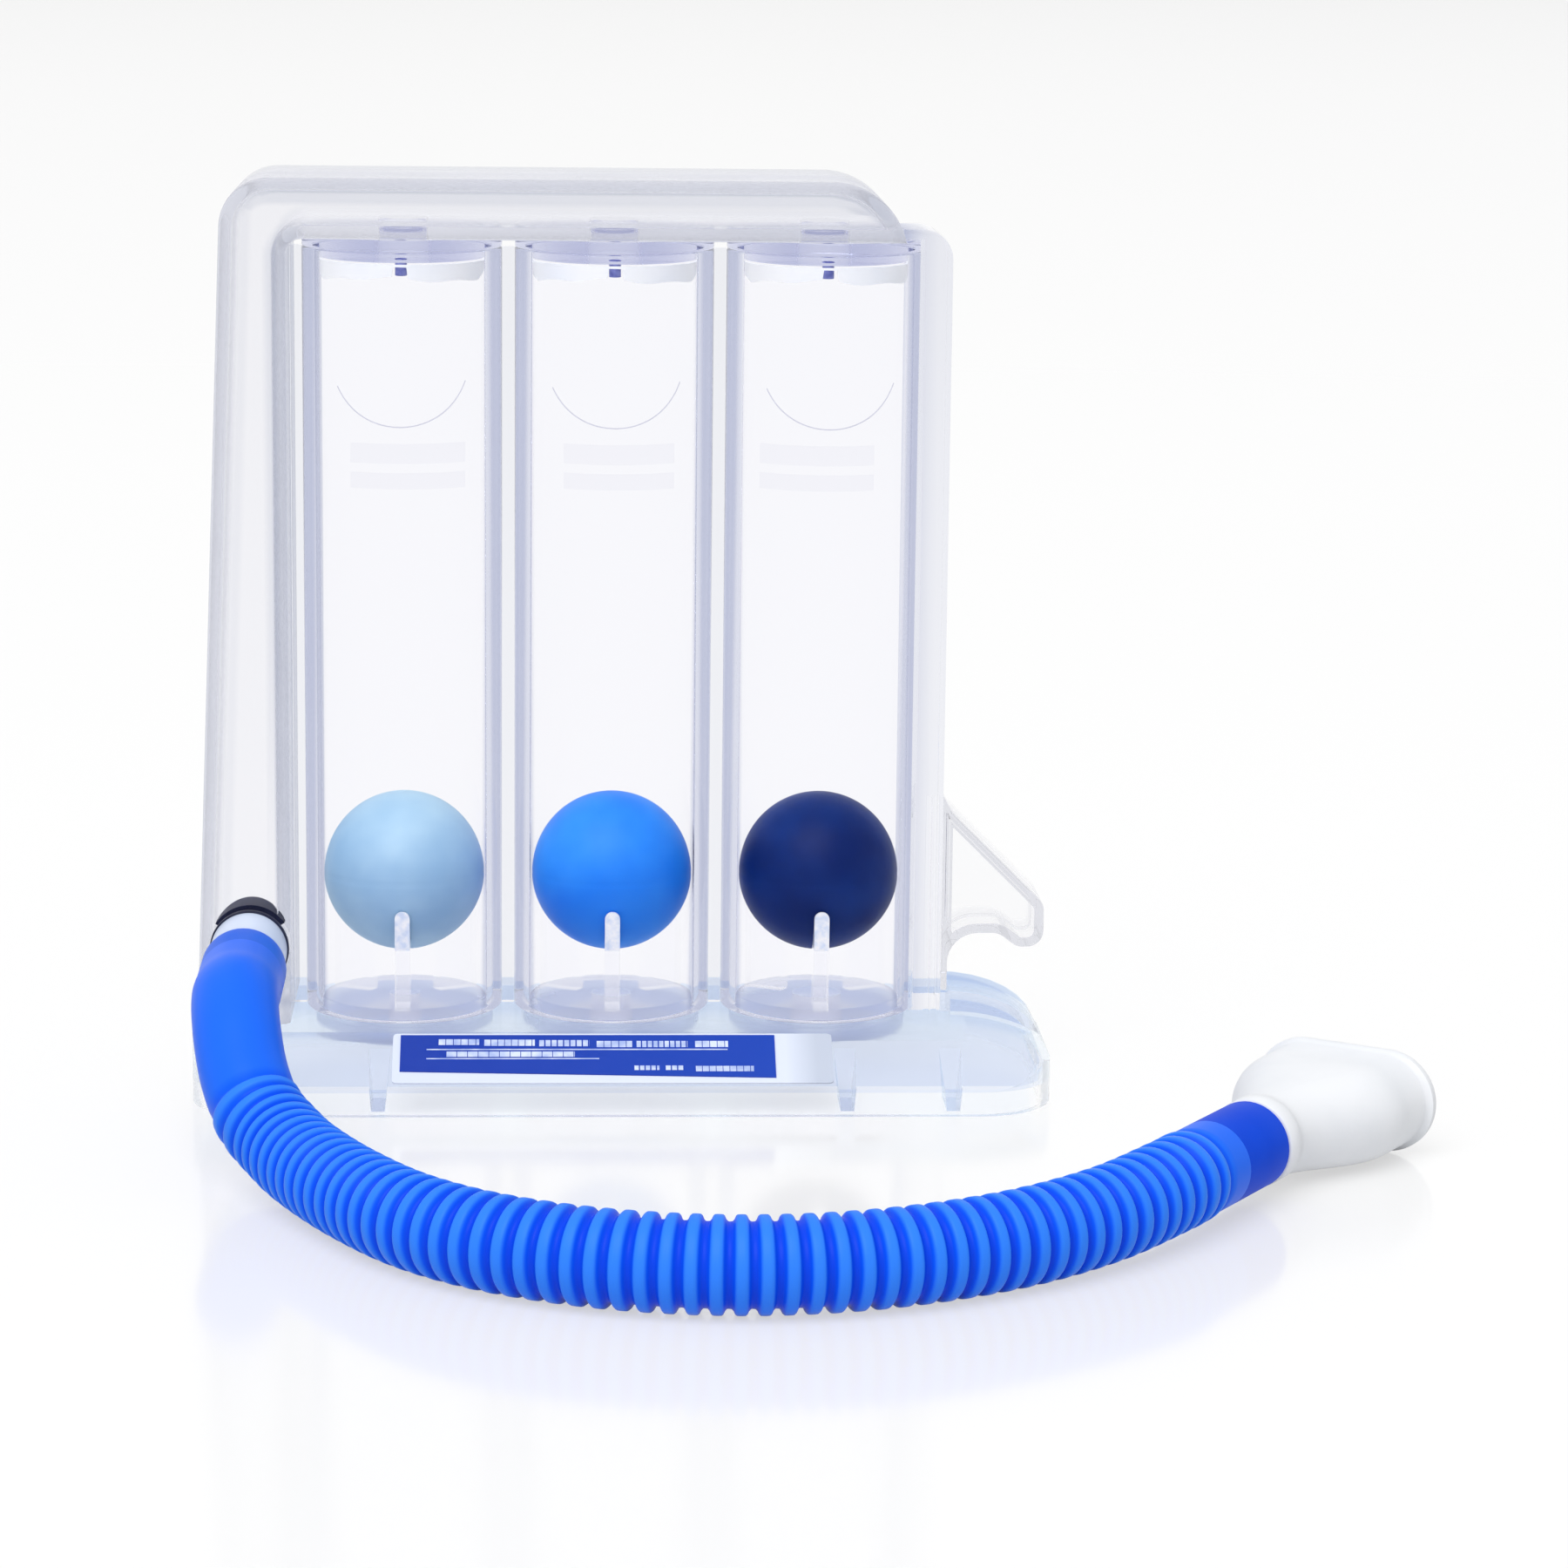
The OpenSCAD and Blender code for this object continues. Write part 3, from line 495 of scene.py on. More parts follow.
# Painted glint: opaque white tips on the front ribs stand in for the light caught on the clear
# rib.
PEG_GLINT = MouldedPlastic("painted peg glint", rgb("ffffff"), rgb("dbe6f7"), 0.4, coat=1.0,
                         drift_scale=900.0, grain_depth=0.00006, specular=0.6)
PIN = MouldedPlastic("lilac pin", rgb("7f86c4"), rgb("5a62a8"), 0.3, drift_scale=900.0,
                     specular=0.3)
SEAL = MouldedPlastic("dark seal", rgb("262b48"), rgb("171b34"), 0.45, specular=0.2)
PALE_BALL = MouldedPlastic("pale blue ball", rgb("b2d4ec"), rgb("95bde0"), 0.42,
                           specular=0.12)
BRIGHT_BALL = MouldedPlastic("bright blue ball", rgb("3595fd"), rgb("207ef4"), 0.42,
                             specular=0.14)
NAVY_BALL = MouldedPlastic("navy ball", rgb("16347a"), rgb("0b2260"), 0.38, specular=0.07)
CARD = PrintedPlastic("white card", rgb("dfe6f4"), rgb("c4ccdb"), 0.5, specular=0.2,
                      start_x=0.026, end_x=0.031)
STRIP = PrintedPlastic("blue print", rgb("1f3da4"), rgb("1d46b4"), specular=0.2)
PRINT = MouldedPlastic("white print", rgb("dce6fa"), rgb("a6b8e6"), 0.4, drift_scale=400.0,
                       specular=0.2)
HOSE_SMOOTH = MouldedPlastic("smooth hose", rgb("0c6aec"), rgb("0860e4"), 0.38, specular=0.05)
# A darker copy of the smooth hose plastic: painted shade on the mouth cuff.
SHADED_HOSE_END = MouldedPlastic("shaded hose end", rgb("084ce0"), rgb("0846d6"), 0.45, specular=0.04)
# The valley colour is painted shade in the ribs' creases and the crest colour a painted highlight.
HOSE_RIBBED = RibbedPlastic("ribbed hose", rgb("0c5ef4"), rgb("0a56ee"), 0.38, specular=0.08,
                            valley_shade=rgb("0a40da"), crest_highlight=rgb("388afc"))
WHITE = MouldedPlastic("white mouthpiece", rgb("eceef2"), rgb("e4e7ec"), 0.4)


# ---- Meshes ----


def turns(count: int) -> list[float]:
    """Returns the angles that part a full turn into equal steps."""
    return [2 * math.pi * k / count for k in range(count)]


def quarter(steps: int) -> list[float]:
    """Returns the angles from 0 to a quarter turn in equal steps."""
    return [math.pi / 2 * k / steps for k in range(steps + 1)]


class Shape:
    """Points and faces of a piece while it is being made, in metres."""

    def __init__(self) -> None:
        """Starts an empty shape."""
        self.points: list[Vector] = []
        self.faces: list[tuple[int, ...]] = []

    def add_rings(self, rings: Sequence[Sequence[Vector]], closed: bool = False,
                  ends: bool = False) -> None:
        """Joins rings of equal size with quads.

        Args:
            rings: The rings in order.
            closed: Whether the last ring joins the first.
            ends: Whether the first and the last ring are filled.
        """
        first, size, count = len(self.points), len(rings[0]), len(rings)
        for ring in rings:
            self.points.extend(ring)
        for i in range(count if closed else count - 1):
            a, b = first + i * size, first + (i + 1) % count * size
            for k in range(size):
                j = (k + 1) % size
                self.faces.append((a + k, a + j, b + j, b + k))
        if ends:
            last = first + (count - 1) * size
            self.faces.append(tuple(range(first + size - 1, first - 1, -1)))
            self.faces.append(tuple(range(last, last + size)))

    def add_lathe(self, profile: Profile, place: Matrix, segments: int = 96,
                  solid: bool = False) -> None:
        """Turns an outline of (radius, height) round the Z axis of a place.

        Args:
            profile: Corners of the outline in metres.
            place: Matrix that puts the turned form in the frame.
            segments: Steps of the turn.
            solid: Whether both ends are filled, instead of joined to each other.
        """
        self.add_rings([[place @ Vector((radius * math.cos(t), radius * math.sin(t), height))
                         for t in turns(segments)] for radius, height in profile],
                       closed=not solid, ends=solid)

    def add_prism(self, outline: Sequence[Vector], depth: Vector) -> None:
        """Extrudes a closed outline along a vector, with both ends filled."""
        self.add_rings([outline, [p + depth for p in outline]], ends=True)

    def build(self, name: str, sharp: float = 35.0) -> Piece:
        """Makes the object.

        Args:
            name: Name of the piece.
            sharp: Angle in degrees from which an edge stays sharp.

        Returns:
            The new object in the scene.
        """
        mesh = bpy.data.meshes.new(name)
        mesh.from_pydata(self.points, [], self.faces)
        return finish_mesh(mesh, name, sharp)


def add_object(name: str, data: bpy.types.ID) -> Piece:
    """Puts an object in the scene.

    Args:
        name: Its name.
        data: The mesh, lens or lamp that it shows.

    Returns:
        The object.
    """
    made = bpy.data.objects.new(name, data)
    bpy.context.scene.collection.objects.link(made)
    return made


def finish_mesh(mesh: bpy.types.Mesh, name: str, sharp: float) -> Piece:
    """Turns a mesh outward, shades it and puts it in the scene.

    Args:
        mesh: The mesh.
        name: Name of the piece.
        sharp: Angle in degrees from which an edge stays sharp.

    Returns:
        The object that shows it.
    """
    work = bmesh.new()
    work.from_mesh(mesh)
    bmesh.ops.recalc_face_normals(work, faces=work.faces)
    work.to_mesh(mesh)
    work.free()
    mesh.shade_smooth()
    mesh.set_sharp_from_angle(angle=math.radians(sharp))
    return add_object(name, mesh)


def corners(x0: float, y0: float, x1: float, y1: float) -> list[tuple[float, float]]:
    """Returns the corners of a rectangle, from two that face each other."""
    return [(x0, y0), (x1, y0), (x1, y1), (x0, y1)]


def rounded_profile(outline: Profile, radius: float, steps: int = 3) -> list[tuple[float, float]]:
    """Rounds every corner of a closed outline.

    Args:
        outline: Corners of the outline.
        radius: Radius of the rounding, reduced where the sides are short.
        steps: Steps of each rounded corner.

    Returns:
        The corners of the rounded outline.
    """
    longest_share = 0.45
    made = []
    for i, corner in enumerate(outline):
        here = Vector(corner)
        before = Vector(outline[i - 1]) - here
        after = Vector(outline[(i + 1) % len(outline)]) - here
        reach = min(radius / math.tan(before.angle(after) / 2), before.length * longest_share,
                    after.length * longest_share)
        start, end = here + before.normalized() * reach, here + after.normalized() * reach
        for k in range(steps + 1):
            t = k / steps
            point = start * (1 - t) ** 2 + here * 2 * t * (1 - t) + end * t ** 2
            made.append((point.x, point.y))
    return made


def block(inner: float, outer: float, low: float, high: float, radius: float,
          steps: int = 3) -> list[tuple[float, float]]:
    """Returns the outline of a turned ring whose edges are rounded by a radius."""
    return rounded_profile(corners(inner, low, outer, high), radius, steps)


@dataclass
class SoftenedNode:
    """A rigid node's own form with the small radii and the tiny joint gaps of moulded parts."""

    node: str
    radius: float = 0.22 * MM
    gap: float = 0.02 * MM
    merge: float = 0.002 * MM
    flat_angle: float = 0.5
    angle: float = 40.0
    segments: int = 2

    def build(self) -> Piece:
        """Copies and softens the node's form.

        Returns:
            The copy as a new piece.
        """
        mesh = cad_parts[self.node].data.copy()
        work = bmesh.new()
        work.from_mesh(mesh)
        bmesh.ops.remove_doubles(work, verts=work.verts, dist=self.merge)
        bmesh.ops.dissolve_limit(work, angle_limit=math.radians(self.flat_angle),
                                 verts=work.verts, edges=work.edges)
        work.normal_update()
        for vert, move in [(v, v.normal * -self.gap) for v in work.verts]:
            vert.co += move
        work.to_mesh(mesh)
        work.free()
        piece = finish_mesh(mesh, self.node + "_moulded", self.angle)
        piece.data.materials.clear()
        bevel = piece.modifiers.new("edge radius", "BEVEL")
        bevel.width, bevel.segments = self.radius, self.segments
        bevel.limit_method = "ANGLE"
        bevel.angle_limit = math.radians(self.angle)
        bevel.harden_normals = False
        piece.modifiers.new("flat faces", "WEIGHTED_NORMAL").keep_sharp = True
        return piece


def write_values(piece: Piece, name: str, values: Sequence[float]) -> None:
    """Writes a value for each point of a piece under a name, for its finish to read."""
    piece.data.attributes.new(name, "FLOAT", "POINT").data.foreach_set("value", values)


def mark_points(piece: Piece, name: str, value: Callable[[Vector], float]) -> None:
    """Writes the value that a function gives at each point of a piece."""
    write_values(piece, name, [value(v.co) for v in piece.data.vertices])


def dress(piece: Piece, finish: Finish, nodes: Iterable[str] = (),
          body: Body = Body.TRAINER) -> Piece:
    """Gives a piece its finish, its body and the nodes that it stands for.

    Args:
        piece: The piece.
        finish: Its finish.
        nodes: Nodes that it replaces.
        body: The body that it rides on.

    Returns:
        The piece.
    """
    piece.data.materials.append(finish.material())
    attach(piece, body.value)
    if nodes:
        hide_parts(*nodes)
    LOG.info("%s rides on %s", piece.name, body.value)
    return piece


def box_middle(node: str) -> Vector:
    """Returns the middle of a node's box."""
    low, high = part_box(node)
    return (low + high) / 2


# ---- Sub-assemblies ----


@dataclass
class Studio:
    """White floor, soft light and the camera of the photograph."""

    camera_place: tuple[float, float, float] = (-12.4 * MM, -762.8 * MM, 199.6 * MM)
    pitch: float = 11.14
    yaw: float = 2.89
    roll: float = -0.68
    focal_pixels: float = 5500.0
    clip: tuple[float, float] = (0.05, 60.0)
    floor_reach: float = 12.0
    floor_tone: float = 0.3
    floor_bounce: float = 0.8
    floor_glow: float = 0.69
    floor_ior: float = 1.26
    floor_roughness: float = 0.12
    floor_specular: float = 0.16
    grazing_share: float = 0.72
    dome_light: float = 0.52
    key_light: float = 2.1
    key_width: float = 50.0
    key_turn: tuple[float, float, float] = (32.0, -12.0, 0.0)
    bounces: int = 24

    def add_camera(self) -> None:
        """Adds the camera that took the photograph."""
        pitch, yaw, roll = (math.radians(a) for a in (self.pitch, self.yaw, self.roll))
        ahead = Vector((math.sin(yaw) * math.cos(pitch), math.cos(yaw) * math.cos(pitch),
                        -math.sin(pitch)))
        right = Vector((math.cos(yaw), -math.sin(yaw), 0.0))
        down = ahead.cross(right)
        turned_right = right * math.cos(roll) + down * math.sin(roll)
        turned_down = down * math.cos(roll) - right * math.sin(roll)
        turned = Matrix((turned_right, -turned_down, -ahead)).transposed().to_4x4()
        lens = bpy.data.cameras.new("photo camera")
        lens.sensor_width = SENSOR_WIDTH
        lens.lens = self.focal_pixels / PHOTO_SIZE * SENSOR_WIDTH
        lens.clip_start, lens.clip_end = self.clip
        camera = add_object("photo camera", lens)
        camera.matrix_world = Matrix.Translation(self.camera_place) @ turned
        bpy.context.scene.camera = camera

    def add_world(self) -> None:
        """Adds a white surround that lights the object softly."""
        world = bpy.data.worlds.new("white room")
        world.use_nodes = True
        tree = world.node_tree
        feed(tree, tree.nodes["Background"], {
            "Color": WHITE_TONE,
            "Strength": spread(tree, self._seen(tree), self.dome_light, 1.0)})
        bpy.context.scene.world = world

    @staticmethod
    def _seen(tree: Tree) -> Socket:
        """Finds the rays that show the background: camera, glossy and transmission rays.

        Args:
            tree: Node tree that looks for them.

        Returns:
            The socket, 1 for such rays and 0 for others.
        """
        path = add_node(tree, "LightPath").outputs
        total = path["Is Camera Ray"]
        for name in ("Is Glossy Ray", "Is Transmission Ray"):
            total = calculate(tree, "MAXIMUM", total, path[name])
        return total

    def add_floor(self) -> None:
        """Adds the glossy white floor."""
        reach = self.floor_reach
        mesh = bpy.data.meshes.new("floor")
        mesh.from_pydata([(x, y, 0) for x, y in corners(-reach, -reach, reach, reach)], [],
                         [(0, 1, 2, 3)])
        floor = add_object("floor", mesh)
        material = bpy.data.materials.new("white floor")
        material.use_nodes = True
        tree = material.node_tree
        seen = self._seen(tree)
        mirror = add_node(tree, "Fresnel", {"IOR": self.floor_ior}).outputs["Fac"]
        level = calculate(tree, "MULTIPLY_ADD", mirror, -self.grazing_share, self.floor_glow,
                          clamp=True)
        feed(tree, tree.nodes["Principled BSDF"], {
            "Base Color": spread(tree, seen, self.floor_bounce, self.floor_tone),
            "Roughness": self.floor_roughness, "Specular IOR Level": self.floor_specular,
            "Emission Color": WHITE_TONE,
            "Emission Strength": calculate(tree, "MULTIPLY", seen, level)})
        mesh.materials.append(material)

    def add_key(self) -> None:
        """Adds one wide soft key light."""
        sun = bpy.data.lights.new("key", "SUN")
        sun.energy, sun.angle = self.key_light, math.radians(self.key_width)
        add_object("key", sun).rotation_euler = [math.radians(a) for a in self.key_turn]

    def build(self) -> None:
        """Adds everything round the object."""
        self.add_camera()
        self.add_world()
        self.add_floor()
        self.add_key()
        scene = bpy.context.scene
        scene.view_settings.view_transform = "Standard"
        scene.cycles.max_bounces = self.bounces
        scene.cycles.transmission_bounces = self.bounces
        scene.cycles.transparent_max_bounces = self.bounces


@dataclass
class Hose:
    """Ribbed hose with smooth cuffs at both ends."""

    route_mm: tuple[tuple[float, float, float], ...] = (
        (-60.1, -30.6, 23.7), (-60.1, -37.6, 23.7), (-60.1, -44.6, 23.7),
        (-59.4, -51.5, 20.6), (-57.9, -58.2, 15.6), (-55.3, -64.4, 11.2), (-51.6, -70.6, 8.7),
        (-47.5, -79, 7.5), (-40, -93.5, 7.1), (-30.5, -108, 7.1), (-18, -119, 7.1),
        (-1.5, -126.5, 7.1), (16.5, -129, 7.1), (34.5, -126, 7.1), (52.5, -117.5, 7.1),
        (67, -106.5, 7.5), (78, -94.6, 8.3), (81.8, -88.8, 8.3), (85.6, -83, 8.3),
    )
    samples_per_step: int = 12
    cuff_r: float = 6.7 * MM
    crest_r: float = 7.0 * MM
    valley_r: float = 6.0 * MM
    bore_r: float = 5.2 * MM
    rib_count: int = 58
    smooth_inlet: float = 36 * MM
    smooth_mouth: float = 7 * MM
    inlet_steps: int = 20
    mouth_steps: int = 4
    rib_shares: tuple[tuple[float, float], ...] = (
        (0.0, 0.0), (0.12, 0.03), (0.2, 0.3), (0.27, 0.78), (0.34, 0.97), (0.45, 1.0), (0.6, 1.0),
        (0.71, 0.97), (0.78, 0.78), (0.85, 0.3), (0.93, 0.03),
    )
    rib_fade: int = 4
    last_rise: float = 0.4
    sides: int = 48
    probe: float = 0.6 * MM
    bore_steps: int = 60
    path_steps: int = 120
    cuff_clearance: float = 0.06 * MM
    mouth_cuff_l: float = 14 * MM
    lip_steps: int = 5
    samples: list[Vector] = field(default_factory=list)
    runs: list[float] = field(default_factory=list)

    def __post_init__(self) -> None:
        """Samples the route as one smooth curve."""
        points = [Vector(p) * MM for p in self.route_mm]
        ends = [2 * points[0] - points[1], *points, 2 * points[-1] - points[-2]]
        for i in range(1, len(ends) - 2):
            a, b, c, d = ends[i - 1:i + 3]
            for k in range(self.samples_per_step):
                t = k / self.samples_per_step
                self.samples.append((2 * b + (c - a) * t + (2 * a - 5 * b + 4 * c - d) * t ** 2
                                     + (3 * b - a - 3 * c + d) * t ** 3) / 2)
        self.samples.append(points[-1])
        self.runs = [0.0]
        for here, there in zip(self.samples, self.samples[1:]):
            self.runs.append(self.runs[-1] + (there - here).length)

    @property
    def length(self) -> float:
        """Length of the hose along its middle line."""
        return self.runs[-1]

    def place(self, run: float) -> Vector:
        """Finds a point of the middle line.

        Args:
            run: Length from its start.

        Returns:
            The point.
        """
        run = min(max(run, 0.0), self.length)
        i = next((k for k, r in enumerate(self.runs[1:]) if r >= run), len(self.runs) - 2)
        share = (run - self.runs[i]) / (self.runs[i + 1] - self.runs[i])
        return self.samples[i].lerp(self.samples[i + 1], share)

    def ring(self, run: float, radius: float) -> list[Vector]:
        """Makes a ring round the middle line.

        Args:
            run: Length from the start.
            radius: Radius of the ring.

        Returns:
            Its points.
        """
        ahead = (self.place(run + self.probe) - self.place(run - self.probe)).normalized()
        side = Vector((0, 0, 1)).cross(ahead).normalized()
        up = ahead.cross(side)
        centre = self.place(run)
        return [centre + radius * (math.cos(t) * side + math.sin(t) * up)
                for t in turns(self.sides)]

    def stations(self) -> list[tuple[float, float]]:
        """Lists the outer rings, from the inlet to the mouth.

        Returns:
            Length from the start and radius of each.
        """
        made = [(self.smooth_inlet * i / self.inlet_steps, self.cuff_r)
                for i in range(self.inlet_steps)]
        rib_end = self.length - self.smooth_mouth
        pitch = (rib_end - self.smooth_inlet) / self.rib_count
        for rib in range(self.rib_count):
            start = self.smooth_inlet + rib * pitch
            fade = max(0.0, 1.0 - (rib + 1) / self.rib_fade)
            low = self.valley_r + (self.cuff_r - self.valley_r) * fade
            made += [(start + share * pitch, low + height * (self.crest_r - low))
                     for share, height in self.rib_shares]
        rise = self.last_rise * pitch
        made.append((rib_end, self.valley_r))
        made += [(rib_end + rise + (self.smooth_mouth - rise) * i / self.mouth_steps, self.cuff_r)
                 for i in range(self.mouth_steps + 1)]
        return made

    def build_ribbed(self) -> Piece:
        """Makes the ribbed tube with its bore.

        Returns:
            The tube, with the height of its ribs as an attribute.
        """
        bore = [(self.length * i / self.bore_steps, self.bore_r)
                for i in range(self.bore_steps, -1, -1)]
        stations = self.stations() + bore
        shape = Shape()
        shape.add_rings([self.ring(run, radius) for run, radius in stations], closed=True)
        piece = shape.build("ribbed_hose", sharp=60.0)
        heights = []
        for _, radius in stations:
            share = (radius - self.valley_r) / (self.crest_r - self.valley_r)
            heights += [min(max(share, 0.0), 1.0)] * self.sides
        write_values(piece, HOSE_RIBBED.height_name, heights)
        return piece

    def build_cuff(self, name: str, centre: Vector, ahead: Vector, length: float,
                   lip: float) -> Piece:
        """Makes a smooth cuff with a rounded open end.

        Args:
            name: Name of the piece.
            centre: Middle of the end that meets the hose.
            ahead: Direction from there to the open end.
            length: Length of the cuff.
            lip: Rounding of the open end.

        Returns:
            The cuff.
        """
        inner, foot = self.bore_r + self.cuff_clearance, SKIN / 2
        profile = [(inner, foot), (self.cuff_r, foot), (self.cuff_r, length / 2)]
        profile += [(self.cuff_r - lip + lip * math.cos(t), length - lip + lip * math.sin(t))
                    for t in quarter(self.lip_steps)]
        profile.append((inner, length))
        shape = Shape()
        shape.add_lathe(profile, Matrix.Translation(centre)
                        @ ahead.to_track_quat("Z", "Y").to_matrix().to_4x4(), self.sides)
        return shape.build(name, sharp=50.0)

    def build(self, mouthpiece: Piece, spigot: Piece) -> None:
        """Args:
            mouthpiece: The mouthpiece on its far end; not used.
            spigot: The spigot that it comes out of; not used.
        """
        tube = dress(self.build_ribbed(), HOSE_RIBBED, ["hose"], Body.HOSE_LINE)
        low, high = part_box("inlet_cuff")
        back = Vector((0, 1, 0))
        inlet = self.build_cuff("inlet_end", self.samples[0], back, high.y - low.y, 0.5 * MM)
        dress(inlet, HOSE_SMOOTH, ["inlet_cuff"], Body.HOSE_LINE)
        out = (self.samples[-1] - self.samples[-2]).normalized()
        mouth = self.build_cuff("mouth_end", self.samples[-1], out, self.mouth_cuff_l, 0.7 * MM)
        dress(mouth, SHADED_HOSE_END, ["mouth_cuff"], Body.HOSE_LINE)


@dataclass
class Mouthpiece:
    """White mouthpiece that is pushed into the hose's end cuff."""

    root: tuple[float, float, float] = (85.6 * MM, -83 * MM, 8.3 * MM)
    out: tuple[float, float, float] = (0.5480263, 0.8364611, 0.0)
    cuff_l: float = 14 * MM
    stub_l: float = 10 * MM
    stub_r: float = 5.2 * MM
    bore_r: float = 3.8 * MM
    flange_gap: float = 0.3 * MM
    flange_r: float = 6.8 * MM
    flange_l: float = 4 * MM
    fillet: float = 0.1 * MM
    neck_l: float = 22 * MM
    neck_steps: int = 14
    lip_l: float = 10 * MM
    lip_w: float = 28 * MM
    lip_h: float = 15 * MM
    bite_w: float = 30 * MM
    bite_h: float = 16 * MM
    bite_l: float = 2 * MM
    wall: float = 1.6 * MM
    tip: float = 0.6 * MM
    chamfer: float = 0.36 * MM
    sides: int = 64

    def oval(self, along: float, width: float, height: float) -> list[Vector]:
        """Makes an oval ring across the mouthpiece.

        Args:
            along: Distance from the hose's end.
            width: Full width.
            height: Full height.

        Returns:
            Its points.
        """
        ahead = Vector(self.out)
        side = Vector((0, 0, 1)).cross(ahead)
        centre = Vector(self.root) + ahead * along
        ring = []
        straight, radius = (width - height) / 2, height / 2
        for k in range(self.sides):
            turn = 2 * math.pi * (k + 0.5) / self.sides
            across = radius * math.cos(turn) + math.copysign(straight, math.cos(turn))
            ring.append(centre + side * across + Vector((0, 0, radius * math.sin(turn))))
        return ring

    def neck(self, foot: float, start: float, wide: float, high: float,
             steps: Iterable[int]) -> list[list[Vector]]:
        """Makes the rings of one face of the neck, whose circle widens to an oval.

        Args:
            foot: Distance of its start from the hose's end.
            start: Diameter of its circle.
            wide: Width of its oval.
            high: Height of its oval.
            steps: Numbers of its rings in their order.

        Returns:
            The rings.
        """
        made = []
        for k in steps:
            t = k / self.neck_steps
            ease = t * t * (3 - 2 * t)
            made.append(self.oval(foot + self.neck_l * t, start + (wide - start) * ease,
                                  start + (high - start) * ease))
        return made

    def build(self) -> Piece:
        """Makes and dresses the mouthpiece.

        Returns:
            The mouthpiece.
        """
        start, tip = self.cuff_l - self.stub_l, self.tip
        flange = self.cuff_l + self.flange_gap
        neck = flange + self.flange_l
        lip = neck + self.neck_l
        end = lip + self.lip_l
        bite = end - self.bite_l
        edge_r = self.flange_r - tip / 2
        inner_w, inner_h = self.lip_w - 2 * self.wall, self.lip_h - 2 * self.wall
        rings = [self.oval(a, 2 * r, 2 * r) for a, r in (
            (start + self.chamfer, self.stub_r - tip / 2), (start + tip, self.stub_r),
            (flange - SKIN, self.stub_r), (flange, self.stub_r + self.fillet), (flange, edge_r),
            (flange + tip / 2, self.flange_r), (neck - tip, self.flange_r), (neck, edge_r))]
        rings += self.neck(neck, 2 * edge_r, self.lip_w, self.lip_h,
                           range(1, self.neck_steps + 1))
        rings += [self.oval(a, w, h) for a, w, h in (
            (bite - tip, self.lip_w, self.lip_h), (bite, self.lip_w + tip, self.lip_h + tip),
            (bite + tip / 2, self.bite_w, self.bite_h), (end - tip, self.bite_w, self.bite_h),
            (end - tip / 3, self.bite_w - tip / 2, self.bite_h - tip / 2),
            (end, self.bite_w - 2 * tip, self.bite_h - 2 * tip),
            (end, inner_w + tip, inner_h + tip), (end - tip, inner_w, inner_h),
            (lip, inner_w, inner_h))]
        rings += self.neck(neck, 2 * self.bore_r, inner_w, inner_h,
                           range(self.neck_steps - 1, -1, -1))
        rings.append(self.oval(start + self.chamfer, 2 * self.bore_r, 2 * self.bore_r))
        shape = Shape()
        shape.add_rings(rings, closed=True)
        return dress(shape.build("mouthpiece_moulded", sharp=55.0), WHITE, ["mouthpiece"],
                     Body.MOUTHPIECE)


@dataclass
class Balls:
    """Three hollow satin balls with a fine parting line."""

    radius: float = 13 * MM
    groove: float = 0.05 * MM
    rings: int = 96
    sides: int = 128

    def build_ball(self, node: str) -> Piece:
        """Makes a ball.

        Args:
            node: Node that it stands for.

        Returns:
            The ball.
        """
        centre, pole = box_middle(node), Vector((0, 0, self.radius))
        loops = []
        for i in range(1, self.rings):
            lift = math.pi * (i / self.rings - 0.5)
            radius = self.radius - (self.groove if i == self.rings // 2 else 0.0)
            loops.append([centre + radius * Vector((math.cos(lift) * math.cos(t),
                                                    math.cos(lift) * math.sin(t),
                                                    math.sin(lift)))
                          for t in turns(self.sides)])
        shape = Shape()
        shape.add_rings(loops)
        poles, top = len(shape.points), (self.rings - 2) * self.sides
        shape.points += [centre - pole, centre + pole]
        for k in range(self.sides):
            j = (k + 1) % self.sides
            shape.faces += [(poles, j, k), (poles + 1, top + k, top + j)]
        return shape.build(node + "_satin", sharp=80.0)

    def build(self) -> None:
        """Makes and dresses the three balls."""
        for node, finish, body, slot in (
                ("left_ball", PALE_BALL, Body.LEFT_BALL, Slot.PALE_BALL),
                ("middle_ball", BRIGHT_BALL, Body.MIDDLE_BALL, Slot.BRIGHT_BALL),
                ("right_ball", NAVY_BALL, Body.RIGHT_BALL, Slot.NAVY_BALL)):
            dress(self.build_ball(node), finish, [node], body)


